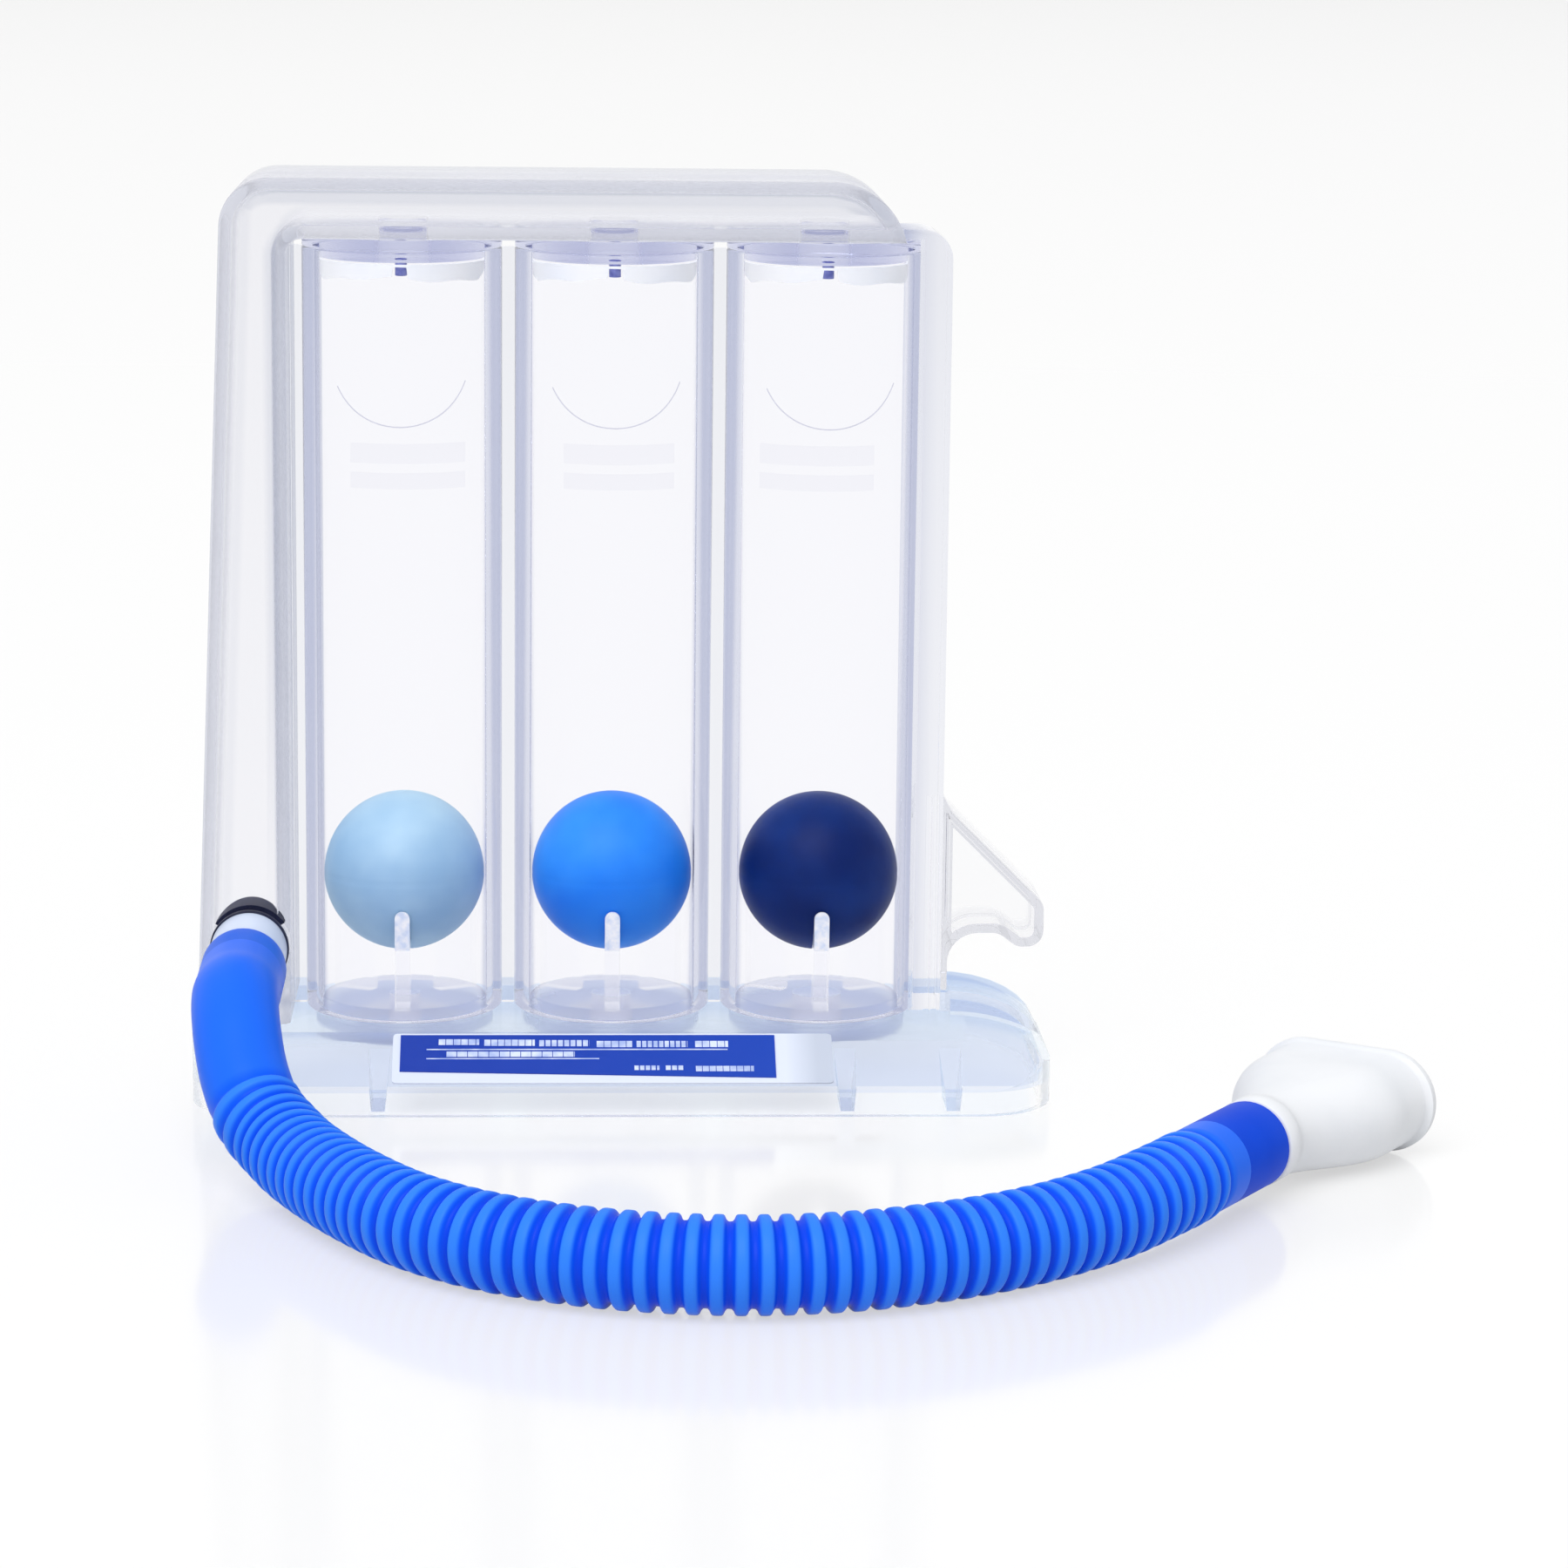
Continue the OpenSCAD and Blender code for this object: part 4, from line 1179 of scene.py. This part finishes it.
@dataclass
class TubeBank:
    """Three clear tubes that are joined by thin webs."""

    pitch: float = 34 * MM
    middle_x: float = -1.7 * MM
    axis_y: float = 8 * MM
    outer_r: float = 16 * MM
    bore_r: float = 13.3 * MM
    web_t: float = 1.6 * MM
    gap: float = 0.03 * MM
    rounding: float = 0.35 * MM
    sides: int = 160

    def build_webs(self, name: str, spans: Iterable[tuple[float, float]], low: float,
                   high: float) -> None:
        """Makes and dresses the webs beside a tube.

        Args:
            name: Node of the tube.
            spans: Where each web starts and ends along X.
            low: Height of their lower end.
            high: Height of their upper end.
        """
        half, webs = self.web_t / 2, Shape()
        for x0, x1 in spans:
            webs.add_prism([Vector((x, self.axis_y + y, low))
                            for x, y in corners(x0, -half, x1, half)], Vector((0, 0, high - low)))
        if webs.points:
            dress(webs.build(name + "_webs"), WEB)

    def build(self) -> None:
        """Makes and dresses the tubes and their webs."""
        reach, middle = self.outer_r + self.gap, (self.outer_r + self.bore_r) / 2
        for name, step in (("left_tube", -1), ("middle_tube", 0), ("right_tube", 1)):
            x = self.middle_x + step * self.pitch
            low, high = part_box(name)
            z0, z1 = low.z + self.gap, high.z - self.gap
            spans = {-1: [(low.x + self.gap, x - reach)],
                     0: [(x - self.pitch + reach, x - reach),
                         (x + reach, x + self.pitch - reach)]}
            self.build_webs(name, spans.get(step, []), z0, z1)
            shape = Shape()
            shape.add_lathe(block(self.bore_r, self.outer_r, z0, z1, self.rounding),
                            Matrix.Translation((x, self.axis_y, 0)), self.sides)
            piece = shape.build(name + "_clear")
            mark_points(piece, TUBE.rim_name, lambda p, x=x: float(
                middle < math.hypot(p.x - x, p.y - self.axis_y) < self.outer_r + self.gap / 2))
            dress(piece, TUBE, [name])


@dataclass
class Shells:
    """Clear moulded parts that keep the form of their nodes, with the caps' pins and a painted
    highlight on each cap's plug.
    """

    caps: tuple[str, ...] = ("left_cap", "middle_cap", "right_cap")
    # Painted shade on the side channel: darker next to the tube, fading out within a few
    # millimetres, and faintly darker over its upper part.
    channel_x: float = 44.3 * MM
    channel_shade_fade: float = 5 * MM
    channel_high: float = 100 * MM
    channel_top_shade: float = 0.12
    seam_z: float = 4 * MM
    seam_reach: float = 0.1 * MM
    flat_share: float = 0.99
    pin_r: float = 0.95 * MM
    pin_wall: float = 0.2 * MM
    pin_front: float = 6 * MM
    pin_low: float = 130.94 * MM
    pin_high: float = 133.7 * MM
    gleam_in: float = 12.95 * MM
    gleam_out: float = 13.24 * MM
    gleam_high: float = 133.36 * MM
    gleam_h: float = 2.9 * MM
    gleam_gap: float = 1.15 * MM
    gap_share: float = 0.2
    gleam_steps: int = 144
    gleam_start: float = -172.0
    gleam_turn: float = 164.0
    gleam_waves: tuple[tuple[float, float, float], ...] = ((0.32, 9.4, 0.6), (0.2, 23.0, 0.0))
    wave_size: float = 0.4
    calm_share: float = 0.86
    end_share: float = 0.35
    end_slope: float = 9.0
    pin_sides: int = 32

    def open_seam(self, piece: Piece) -> None:
        """Takes out the flat faces in which hood and foot frame are welded together.

        Args:
            piece: The hood or the foot frame.
        """
        work = bmesh.new()
        work.from_mesh(piece.data)
        flat = [f for f in work.faces if abs(f.normal.z) > self.flat_share
                and abs(f.calc_center_median().z - self.seam_z) < self.seam_reach]
        bmesh.ops.delete(work, geom=flat, context="FACES_ONLY")
        work.to_mesh(piece.data)
        work.free()

    def add_pin(self, node: str) -> None:
        """Adds the skin of the pin that stops the ball under a cap.

        Args:
            node: Node of the cap.
        """
        axis = box_middle(node)
        pin = Shape()
        pin.add_lathe(block(self.pin_r - self.pin_wall, self.pin_r, self.pin_low, self.pin_high,
                            self.pin_wall / 2),
                      Matrix.Translation((axis.x, axis.y - self.pin_front, 0)), self.pin_sides)
        dress(pin.build(node + "_pin"), PIN)

    def add_gleam(self, node: str) -> None:
        """Adds a painted highlight: a white band on the front of a cap's plug, with an uneven
        lower end.

        Args:
            node: Node of the cap.
        """
        axis = box_middle(node)
        rings = []
        for k in range(self.gleam_steps + 1):
            share = k / self.gleam_steps
            turn = math.radians(self.gleam_start + self.gleam_turn * share)
            wave = sum(size * math.sin(rate * share + shift)
                       for size, rate, shift in self.gleam_waves)
            reach = min(1.0, self.end_slope * share, self.end_slope * (1 - share))
            height = (self.gleam_h * (self.end_share + (1 - self.end_share) * reach)
                      * (self.calm_share + self.wave_size * wave))
            if abs(self.gleam_out * math.cos(turn)) < self.gleam_gap:
                height *= self.gap_share
            foot = self.gleam_high - height
            rings.append([Vector((axis.x + r * math.cos(turn), axis.y + r * math.sin(turn), z))
                          for r, z in corners(self.gleam_in, foot, self.gleam_out,
                                              self.gleam_high)])
        shape = Shape()
        shape.add_rings(rings, ends=True)
        dress(shape.build(node + "_plug_highlight"), GLEAM)

    def build(self) -> None:
        """Makes and dresses the shells."""
        for finish, nodes in ((CHANNEL, ("side_channel",)), (SHELL, ("hose_hook",)),
                              (CAP, self.caps), (BASE, ("base_hood",)), (FOOT, ("base_frame",))):
            for node in nodes:
                piece = SoftenedNode(node).build()
                # Painted shade: the channel darkens towards the tube beside it.
                if finish is CHANNEL:
                    mark_points(piece, finish.rim_name, lambda p: max(
                        self.channel_top_shade if p.z > self.channel_high else 0.0,
                        1 - (p.x - self.channel_x) / self.channel_shade_fade))
                if finish in (BASE, FOOT):
                    self.open_seam(piece)
                    mark_points(piece, finish.rim_name, lambda p: 1.0)
                dress(piece, finish, [node])
        for node in self.caps:
            self.add_pin(node)
            self.add_gleam(node)


@dataclass
class Duct:
    """Front and back shell of the duct: an upright leg and a bar in one smooth sweep."""

    foot_z: float = 11 * MM
    top_z: float = 147 * MM
    bar_z: float = 137.4 * MM
    leg_right: float = -53.7 * MM
    foot_left: float = -68.7 * MM
    head_left: float = -63.7 * MM
    end_x: float = 32.3 * MM
    end_r: float = 12.2 * MM
    corner_r: float = 8 * MM
    inner_r: float = 2.6 * MM
    middle_y: float = 8 * MM
    half_depth: float = 16 * MM
    wall: float = 2 * MM
    edge_r: float = 1.8 * MM
    edge_steps: int = 12
    inside_r: float = 0.8 * MM
    inside_steps: int = 8
    inside_flat: float = 0.4 * MM
    # Insets that bound the band of painted edge shade.
    band: float = 3.6 * MM
    band_in: float = 2.6 * MM
    top_band: float = 4.4 * MM
    top_points: range = range(10, 35)
    # Painted edge shade by outline point: point number, share at the edge and share on the face.
    edge_shade_shares: tuple[tuple[int, float, float], ...] = (
        (0, 0.2, 0.38), (8, 0.15, 0.5), (18, 0.1, 0.8), (38, 0.4, 0.9), (40, 0.15, 0.2),
        (48, 0.9, 0.72), (50, 0.9, 0.72))
    inlet: tuple[float, float, float] = (-60.1 * MM, -8 * MM, 23.7 * MM)
    hole_r: float = 5.25 * MM
    boss_r: float = 6.1 * MM
    boss_depth: float = 4.5 * MM
    port_r: float = 4 * MM
    port_y: float = 14 * MM
    lip_w: float = 0.7 * MM
    lip_h: float = 0.5 * MM
    port_x: tuple[float, ...] = (-35.7 * MM, -1.7 * MM, 32.3 * MM)
    port_sides: int = 64
    cut_share: float = 1.25
    corner_steps: int = 16
    end_steps: int = 20
    bend_steps: int = 8
    sharp: float = 38.0

    @staticmethod
    def arc(x: float, z: float, radius: float, start: float, end: float,
            steps: int) -> list[Vector]:
        """Returns the points (x, z) of an arc round a centre, from one angle to another."""
        angles = [math.radians(start + (end - start) * k / steps) for k in range(steps + 1)]
        return [Vector((x + radius * math.cos(t), z + radius * math.sin(t))) for t in angles]

    def inset(self, distance: float, lift: float) -> list[Vector]:
        """Makes the duct's outline, from its outer to its inner foot, moved inwards.

        Args:
            distance: Distance by which it is moved inwards.
            lift: Height of its foot above the shell's own.

        Returns:
            The points as (x, z).
        """
        side = Vector((self.head_left - self.foot_left, self.top_z - self.foot_z)).normalized()
        foot = Vector((self.foot_left, self.foot_z)) + Vector((side.y, -side.x)) * distance
        start = foot + side * (lift / side.y)
        lean = math.degrees(math.atan2(side.x, side.y))
        corner_z = self.top_z - self.corner_r
        corner_x = self.foot_left + (self.corner_r + (corner_z - self.foot_z) * side.x) / side.y
        corner = self.arc(corner_x, corner_z, self.corner_r - distance, 180 - lean, 90,
                          self.corner_steps)
        end_z, end_r = self.top_z - self.end_r, self.end_r - distance
        low = math.degrees(math.asin((self.bar_z + distance - end_z) / end_r))
        end = self.arc(self.end_x, end_z, end_r, 90, low, self.end_steps)
        bend = self.arc(self.leg_right + self.inner_r, self.bar_z - self.inner_r,
                        self.inner_r + distance, 90, 180, self.bend_steps)
        foot_z = self.foot_z + lift
        right = self.leg_right - distance
        start.y = foot_z
        return [start, start.lerp(corner[0], 0.5), *corner, *end, *bend,
                Vector((right, (foot_z + self.bar_z) / 2)), Vector((right, foot_z))]

    def rim_share(self, k: int, on_face: float) -> float:
        """Looks up how strongly the painted edge shade shows at a point of the outline.

        Args:
            k: Number of the point along the outline.
            on_face: 0 to 1 from the edge to the face, more beyond the bands of most points and
                less than 0 beyond them all.

        Returns:
            The share from 0 to 1.
        """
        if on_face < 0 or (on_face > 1 and k not in self.top_points):
            return 0.0
        here, there = next((a, b) for a, b in zip(self.edge_shade_shares, self.edge_shade_shares[1:])
                           if k <= b[0])
        t = (k - here[0]) / (there[0] - here[0])
        edge, face = (a + (b - a) * t for a, b in zip(here[1:], there[1:]))
        return edge + (face - edge) * min(1.0, on_face)

    def tray(self, name: str, side: int) -> Piece:
        """Makes one shell.

        Args:
            name: Name of the piece.
            side: -1 for the front shell and 1 for the back one.

        Returns:
            The shell with its rim share.
        """
        def ring(distance: float, depth: float, lift: float) -> list[Vector]:
            """Returns the outline moved inwards, at a depth below the shell's outer face."""
            y = self.middle_y + side * (self.half_depth - depth)
            return [Vector((p.x, y, p.y)) for p in self.inset(distance, lift)]

        seam = self.half_depth - SKIN
        outer = [(0.0, seam, 0.0)]
        outer += [(self.edge_r * (1 - math.cos(t)), self.edge_r * (1 - math.sin(t)),
                   t / (math.pi / 2)) for t in quarter(self.edge_steps)]
        outer += [(self.band_in, 0.0, 1.0), (self.band, 0.0, 2.0), (self.top_band, 0.0, -1.0)]
        inner = [(self.wall + self.inside_r + self.inside_flat, self.wall)]
        inner += [(self.wall + self.inside_r * (1 - math.sin(t)),
                   self.wall + self.inside_r * (1 - math.cos(t)))
                  for t in quarter(self.inside_steps)]
        inner += [(self.wall, seam)]
        outside = [ring(distance, depth, 0.0) for distance, depth, _ in outer]
        size = len(outside[0])
        shape = Shape()
        shape.add_rings(outside)
        start = len(shape.points)
        shape.faces.append(tuple(range(start - size, start)))
        shape.add_rings([ring(distance, depth, self.wall) for distance, depth in inner])
        shape.faces.append(tuple(range(start, start + size)))
        end = len(shape.points) - size
        for k in range(size):
            j = (k + 1) % size
            shape.faces.append((k, j, end + j, end + k))
        piece = shape.build(name, sharp=self.sharp)
        shares = [self.rim_share(k, share) for _, _, share in outer for k in range(size)]
        write_values(piece, DUCT.rim_name, shares + [0.0] * (len(shape.points) - start))
        return piece

    def drill(self, piece: Piece, places: Sequence[Matrix], radius: float) -> None:
        """Cuts round holes through the wall of a shell.

        Args:
            piece: The shell.
            places: A matrix for each hole, at its middle and with Z along it.
            radius: Radius of the holes.
        """
        reach = self.cut_share * self.wall
        for place in places:
            bit = Shape()
            bit.add_lathe([(radius, -reach), (radius, reach)], place, self.port_sides, solid=True)
            cutter = bit.build("drill")
            cut = piece.modifiers.new("hole", "BOOLEAN")
            cut.object, cut.solver = cutter, "EXACT"
            graph = bpy.context.evaluated_depsgraph_get()
            drilled = bpy.data.meshes.new_from_object(piece.evaluated_get(graph))
            piece.modifiers.remove(cut)
            piece.data = drilled
            bpy.data.objects.remove(cutter)
        piece.data.set_sharp_from_angle(angle=math.radians(self.sharp))

    def build(self) -> None:
        """Makes and dresses both shells, the boss round the inlet and the lilac lips of painted
        shade round the ports.
        """
        forward = Matrix.Rotation(math.pi / 2, 4, "X")
        ports = [Matrix.Translation((x, self.port_y, self.bar_z)) for x in self.port_x]
        for node, side, places, radius in (
                ("duct_front", -1, [Matrix.Translation(self.inlet) @ forward], self.hole_r),
                ("duct_back", 1, ports, self.port_r)):
            piece = self.tray(node + "_shell", side)
            self.drill(piece, places, radius)
            dress(piece, DUCT, [node])
        x, y, z = self.inlet
        boss = Shape()
        boss.add_lathe(block(self.hole_r, self.boss_r, 0.0, self.boss_depth - self.wall,
                             0.3 * MM),
                       Matrix.Translation((x, y + self.boss_depth, z)) @ forward)
        dress(boss.build("duct_boss"), SHELL)
        # The lilac rings in the ports are painted shade round their edges.
        lips, low = Shape(), self.bar_z + SKIN
        for x in self.port_x:
            lips.add_lathe(block(self.port_r - self.lip_w, self.port_r - SKIN, low,
                                 low + self.lip_h, 0.15 * MM),
                           Matrix.Translation((x, self.port_y, 0)), self.port_sides)
        dress(lips.build("port_shade_lips"), PORT_SHADE)


@dataclass
class Floors:
    """Chamber floors with three clear ribs that carry the ball, the front one with a white tip
    that is a painted glint.
    """

    holes: tuple[tuple[str, float], ...] = (
        ("left_floor", 2.5 * MM), ("middle_floor", 3.25 * MM), ("right_floor", 4 * MM))
    flange_r: float = 14.5 * MM
    flange_z: float = 9.2 * MM
    flange_h: float = 2 * MM
    collar_r: float = 8 * MM
    collar_h: float = 2 * MM
    plug_r: float = 13.25 * MM
    floor_z: float = 12.9 * MM
    rib_in: float = 6 * MM
    rib_out: float = 13 * MM
    rib_w: float = 2.4 * MM
    rib_least: float = 0.3 * MM
    rib_root: float = 0.5 * MM
    rib_steps: int = 24
    tip_steps: int = 8
    sides: int = 128
    rounding: float = 0.3 * MM
    ball_z: float = 33.4 * MM
    ball_r: float = 13.3 * MM
    tip_drop: float = 4.4 * MM
    glint_z: float = 22.6 * MM

    def add_rib(self, shape: Shape, turn: Matrix, low: float, high: float) -> None:
        """Adds a stretch of a rib with a round tip, hollowed for the ball, to a shape.

        Args:
            shape: The shape.
            turn: Matrix of the rib, whose X points away from the axis.
            low: Height at which the stretch starts.
            high: Height at which it ends.
        """
        half = self.rib_w / 2
        top = self.ball_z - self.tip_drop
        heights = [low + (min(high, top - half) - low) * k / self.rib_steps
                   for k in range(self.rib_steps + 1)]
        if high > top - half:
            heights += [top - half + half * math.sin(t) for t in quarter(self.tip_steps)[1:-1]]
        rings = []
        for z in heights:
            wide = math.sqrt(max(half ** 2 - max(z - top + half, 0.0) ** 2, 0.0))
            drop = self.ball_z - z
            inner = math.sqrt(self.ball_r ** 2 - drop ** 2) if drop < self.ball_r else 0.0
            start = min(max(inner, self.rib_in), self.rib_out - self.rib_least)
            rings.append([turn @ Vector((x, y, z))
                          for x, y in corners(start, -wide, self.rib_out, wide)])
        shape.add_rings(rings, ends=True)

    def build(self) -> None:
        """Makes and dresses the floors and their ribs."""
        top, base = self.ball_z - self.tip_drop, self.flange_z - self.flange_h
        collar, flange = base - self.collar_h, self.flange_z - SKIN
        for node, hole in self.holes:
            axis = box_middle(node)
            place = Matrix.Translation((axis.x, axis.y, 0))
            disc, clear, tip = Shape(), Shape(), Shape()
            disc.add_lathe(rounded_profile([
                (hole, collar), (self.collar_r, collar), (self.collar_r, base),
                (self.flange_r, base), (self.flange_r, flange), (self.plug_r, flange),
                (self.plug_r, self.floor_z), (hole, self.floor_z)], self.rounding), place,
                self.sides)
            dress(disc.build(node + "_disc"), DISC, [node])
            front, *others = [place @ Matrix.Rotation(math.radians(angle), 4, "Z")
                              for angle in (-90, 30, 150)]
            for turn, high in ((front, self.glint_z), *((other, top) for other in others)):
                self.add_rib(clear, turn, self.floor_z - self.rib_root, high)
            dress(clear.build(node + "_ribs", sharp=30.0), RIB)
            # The white tip of the front rib is a painted glint on the clear rib.
            self.add_rib(tip, front, self.glint_z + SKIN, top)
            dress(tip.build(node + "_tip", sharp=30.0), PEG_GLINT)


@dataclass
class Inlet:
    """Spigot, dark gasket and pale collar in front of the duct."""

    segments: int = 96
    spigot_bore: float = 3.9 * MM
    bore: float = 5.25 * MM
    gasket_inset: float = 0.15 * MM
    lip_in: float = 5.5 * MM
    lip_out: float = 6.6 * MM
    lip_front: float = -5.9 * MM
    lip_l: float = 6.4 * MM
    lip_start: float = 34.0
    lip_turn: float = 114.0
    lip_steps: int = 64
    lip_end: float = 0.03
    lip_power: float = 0.6

    def add_sleeve(self, node: str, finish: Finish, bore: float,
                   rounding: float, inset: float = 0.0) -> Piece:
        """Makes and dresses a turned sleeve on the inlet's axis.

        Args:
            node: Node that it stands for.
            finish: Its finish.
            bore: Radius of its bore.
            rounding: Rounding of its edges.
            inset: Amount by which its outer face stays inside the node's.

        Returns:
            The sleeve.
        """
        low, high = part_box(node)
        place = (Matrix.Translation(((low.x + high.x) / 2, high.y, (low.z + high.z) / 2))
                 @ Matrix.Rotation(math.pi / 2, 4, "X"))
        shape = Shape()
        shape.add_lathe(block(bore, (high.x - low.x) / 2 - inset, SKIN, high.y - low.y - SKIN,
                              rounding, steps=4), place, self.segments)
        return dress(shape.build(node + "_turned", sharp=50.0), finish, [node])

    def add_shade_lip(self) -> None:
        """Adds a dark lip inside the duct over the upper side of the boss: painted shade, a dark
        crescent where the duct shows the dark inside of the inlet.
        """
        centre = box_middle("inlet_gasket")
        rings = []
        for k in range(self.lip_steps + 1):
            share = k / self.lip_steps
            turn = math.radians(self.lip_start + self.lip_turn * share)
            along_arc = self.lip_end + (1 - 2 * self.lip_end) * share
            length = self.lip_l * math.sin(math.pi * along_arc) ** self.lip_power
            rings.append([Vector((centre.x + r * math.cos(turn), self.lip_front + along,
                                  centre.z + r * math.sin(turn)))
                          for r, along in corners(self.lip_in, 0.0, self.lip_out, length)])
        # The lip is painted shade: a dark crescent beside the real gasket.
        shape = Shape()
        shape.add_rings(rings, ends=True)
        dress(shape.build("gasket_shade_lip"), SEAL)

    def build(self) -> Piece:
        """Makes and dresses the pieces of the inlet.

        Returns:
            The spigot.
        """
        spigot = self.add_sleeve("inlet_spigot", SHELL, self.spigot_bore, 0.3 * MM)
        self.add_sleeve("inlet_gasket", SEAL, self.bore, 0.3 * MM, self.gasket_inset)
        self.add_shade_lip()
        self.add_sleeve("inlet_collar", COLLAR, self.bore, 0.5 * MM)
        return spigot


@dataclass
class TubeMarks:
    """Faint arcs and faint plain bars on the fronts of the tubes."""

    tube_r: float = 16 * MM
    axis_y: float = 8 * MM
    lift: float = 0.02 * MM
    thickness: float = 0.03 * MM
    arc_r: float = 12.3 * MM
    arc_z: float = 120.3 * MM
    arc_w: float = 0.2 * MM
    arc_start: float = -150.0
    arc_turn: float = 125.0
    arc_steps: int = 48
    bar_steps: int = 16
    rows: tuple[tuple[float, float], ...] = ((103.8 * MM, 3.2 * MM), (99.45 * MM, 2.6 * MM))
    tubes: tuple[tuple[float, float, float], ...] = (
        (-35.7 * MM, -8.2 * MM, 11.1 * MM), (-1.7 * MM, -8.5 * MM, 10.1 * MM),
        (32.3 * MM, -11.9 * MM, 7.5 * MM))

    def ribbon(self, shape: Shape, x: float, line: Sequence[Vector], width: float) -> None:
        """Adds a thin ribbon that lies on the front of a tube.

        Args:
            shape: Shape that it is added to.
            x: X of the tube's axis.
            line: Middle line as length round the tube and height.
            width: Its width.
        """
        rings = []
        inner = self.tube_r + self.lift
        outer = inner + self.thickness
        for i, here in enumerate(line):
            run = (line[min(i + 1, len(line) - 1)] - line[max(i - 1, 0)]).normalized()
            across = Vector((-run.y, run.x)) * width / 2
            rings.append([Vector((x + r * math.sin(p.x / self.tube_r),
                                  self.axis_y - r * math.cos(p.x / self.tube_r), p.y))
                          for p, r in ((here + across, inner), (here + across, outer),
                                       (here - across, outer), (here - across, inner))])
        shape.add_rings(rings, ends=True)

    def build(self) -> None:
        """Makes and dresses the arcs and the bars."""
        arcs, bars = Shape(), Shape()
        angles = [math.radians(self.arc_start + self.arc_turn * k / self.arc_steps)
                  for k in range(self.arc_steps + 1)]
        for x, start, end in self.tubes:
            self.ribbon(arcs, x, [Vector((self.arc_r * math.cos(t),
                                          self.arc_z + self.arc_r * math.sin(t)))
                                  for t in angles], self.arc_w)
            for z, height in self.rows:
                self.ribbon(bars, x, [Vector((start + (end - start) * k / self.bar_steps, z))
                                      for k in range(self.bar_steps + 1)], height)
        dress(arcs.build("tube_arcs"), ARC)
        dress(bars.build("tube_bars"), FAINT_PRINT)


@dataclass
class Label:
    """White card with a plain blue printed strip on the sloped panel."""

    centre_x: float = -1.7 * MM
    front_y: float = -25 * MM
    rim_z: float = 4 * MM
    run: float = 12 * MM
    rise: float = 7 * MM
    card_w: float = 70.4 * MM
    card_h: float = 11.2 * MM
    card_margin: float = 0.7 * MM
    card_corner: float = 0.8 * MM
    card_t: float = 0.3 * MM
    strip_w: float = 60 * MM
    strip_h: float = 9.6 * MM
    strip_h_duct: float = 8.2 * MM
    strip_margin: float = 0.5 * MM
    strip_t: float = 0.2 * MM
    strip_shift: float = 4 * MM
    bar_t: float = 0.03 * MM
    bars_mm: tuple[tuple[float, float, float, float, float], ...] = (
        (-27.9, -21.3, 2.2, 1.3, 1.2), (-20.6, -12.4, 2.3, 1.4, 1.1), (-11.8, -3.6, 2.4, 1.4, 1.0),
        (-2.6, 3.2, 2.6, 1.4, 1.2), (3.8, 12.2, 2.6, 1.4, 0.9), (13.2, 18.6, 2.6, 1.4, 1.2),
        (-29.8, 18.6, 4.4, 0.25, 60.0), (-26.6, -6.0, 5.0, 1.2, 1.7),
        (-29.8, -2.0, 6.5, 0.22, 60.0), (3.4, 7.6, 8.2, 1.0, 0.9), (8.4, 11.6, 8.2, 1.0, 1.0),
        (13.2, 22.6, 8.3, 1.2, 1.1),
    )
    least_cell: float = 0.2
    wide_cells: tuple[float, float] = (1.0, 5.0)
    wide_gap: float = 0.12
    close_gap: float = 0.22

    def on_panel(self, x: float, down: float, lift: float) -> Vector:
        """Finds a place on or above the panel.

        Args:
            x: Distance along X from its middle.
            down: Distance below its upper edge.
            lift: Height above it.

        Returns:
            The place.
        """
        slope = Vector((0, self.run, self.rise)).normalized()
        out = Vector((0, -self.rise, self.run)).normalized()
        edge = Vector((self.centre_x + x, self.front_y + self.run, self.rim_z + self.rise))
        return edge - slope * down + out * lift

    def add_plate(self, shape: Shape, outline: Profile, lift: float, thickness: float) -> None:
        """Adds a plate to a shape, its underside lifted off the panel and its outline on it."""
        shape.add_prism([self.on_panel(x, down, lift) for x, down in outline],
                        self.on_panel(0, 0, thickness) - self.on_panel(0, 0, 0))

    def add_bars(self, lift: float) -> None:
        """Makes and dresses plain bars where a label has its lines, with no letters in them.

        Args:
            lift: Height of their undersides above the panel.
        """
        shape = Shape()
        for start, end, down, height, cell in self.bars_mm:
            gap = (self.wide_gap if self.wide_cells[0] < cell < self.wide_cells[1]
                   else self.close_gap)
            while start < end - self.least_cell:
                stop = min(start + cell, end)
                self.add_plate(shape, [(x * MM, y * MM) for x, y in corners(
                    start, down, stop - gap, down + height)], lift, self.bar_t)
                start = stop
        dress(shape.build("label_bars"), PRINT)

    def build(self) -> None:
        """Makes and dresses the card, its strip and its bars."""
        half, top = self.card_w / 2, self.card_margin
        low = top + self.card_h
        card, strip = Shape(), Shape()
        self.add_plate(card, rounded_profile(corners(-half, top, half, low), self.card_corner),
                       SKIN, self.card_t - SKIN)
        dress(card.build("label_card_plate"), CARD, ["label_card"])
        left, top = -self.strip_w / 2 - self.strip_shift, top + self.strip_margin
        right = left + self.strip_w
        self.add_plate(strip, [(left, top), (right, top), (right, top + self.strip_h),
                               (left, top + self.strip_h_duct)],
                       self.card_t + SKIN / 2, self.strip_t - SKIN)
        dress(strip.build("label_strip_plate"), STRIP, ["label_strip"])
        self.add_bars(self.card_t + self.strip_t)


def main() -> None:
    """Builds the scene round the frame."""
    logging.basicConfig(level=logging.INFO, format="%(message)s")
    Studio().build()
    mouthpiece = Mouthpiece().build()
    Hose().build(mouthpiece, Inlet().build())
    Balls().build()
    TubeBank().build()
    Shells().build()
    Floors().build()
    Duct().build()
    Label().build()
    TubeMarks().build()


if __name__ == "__main__":
    main()
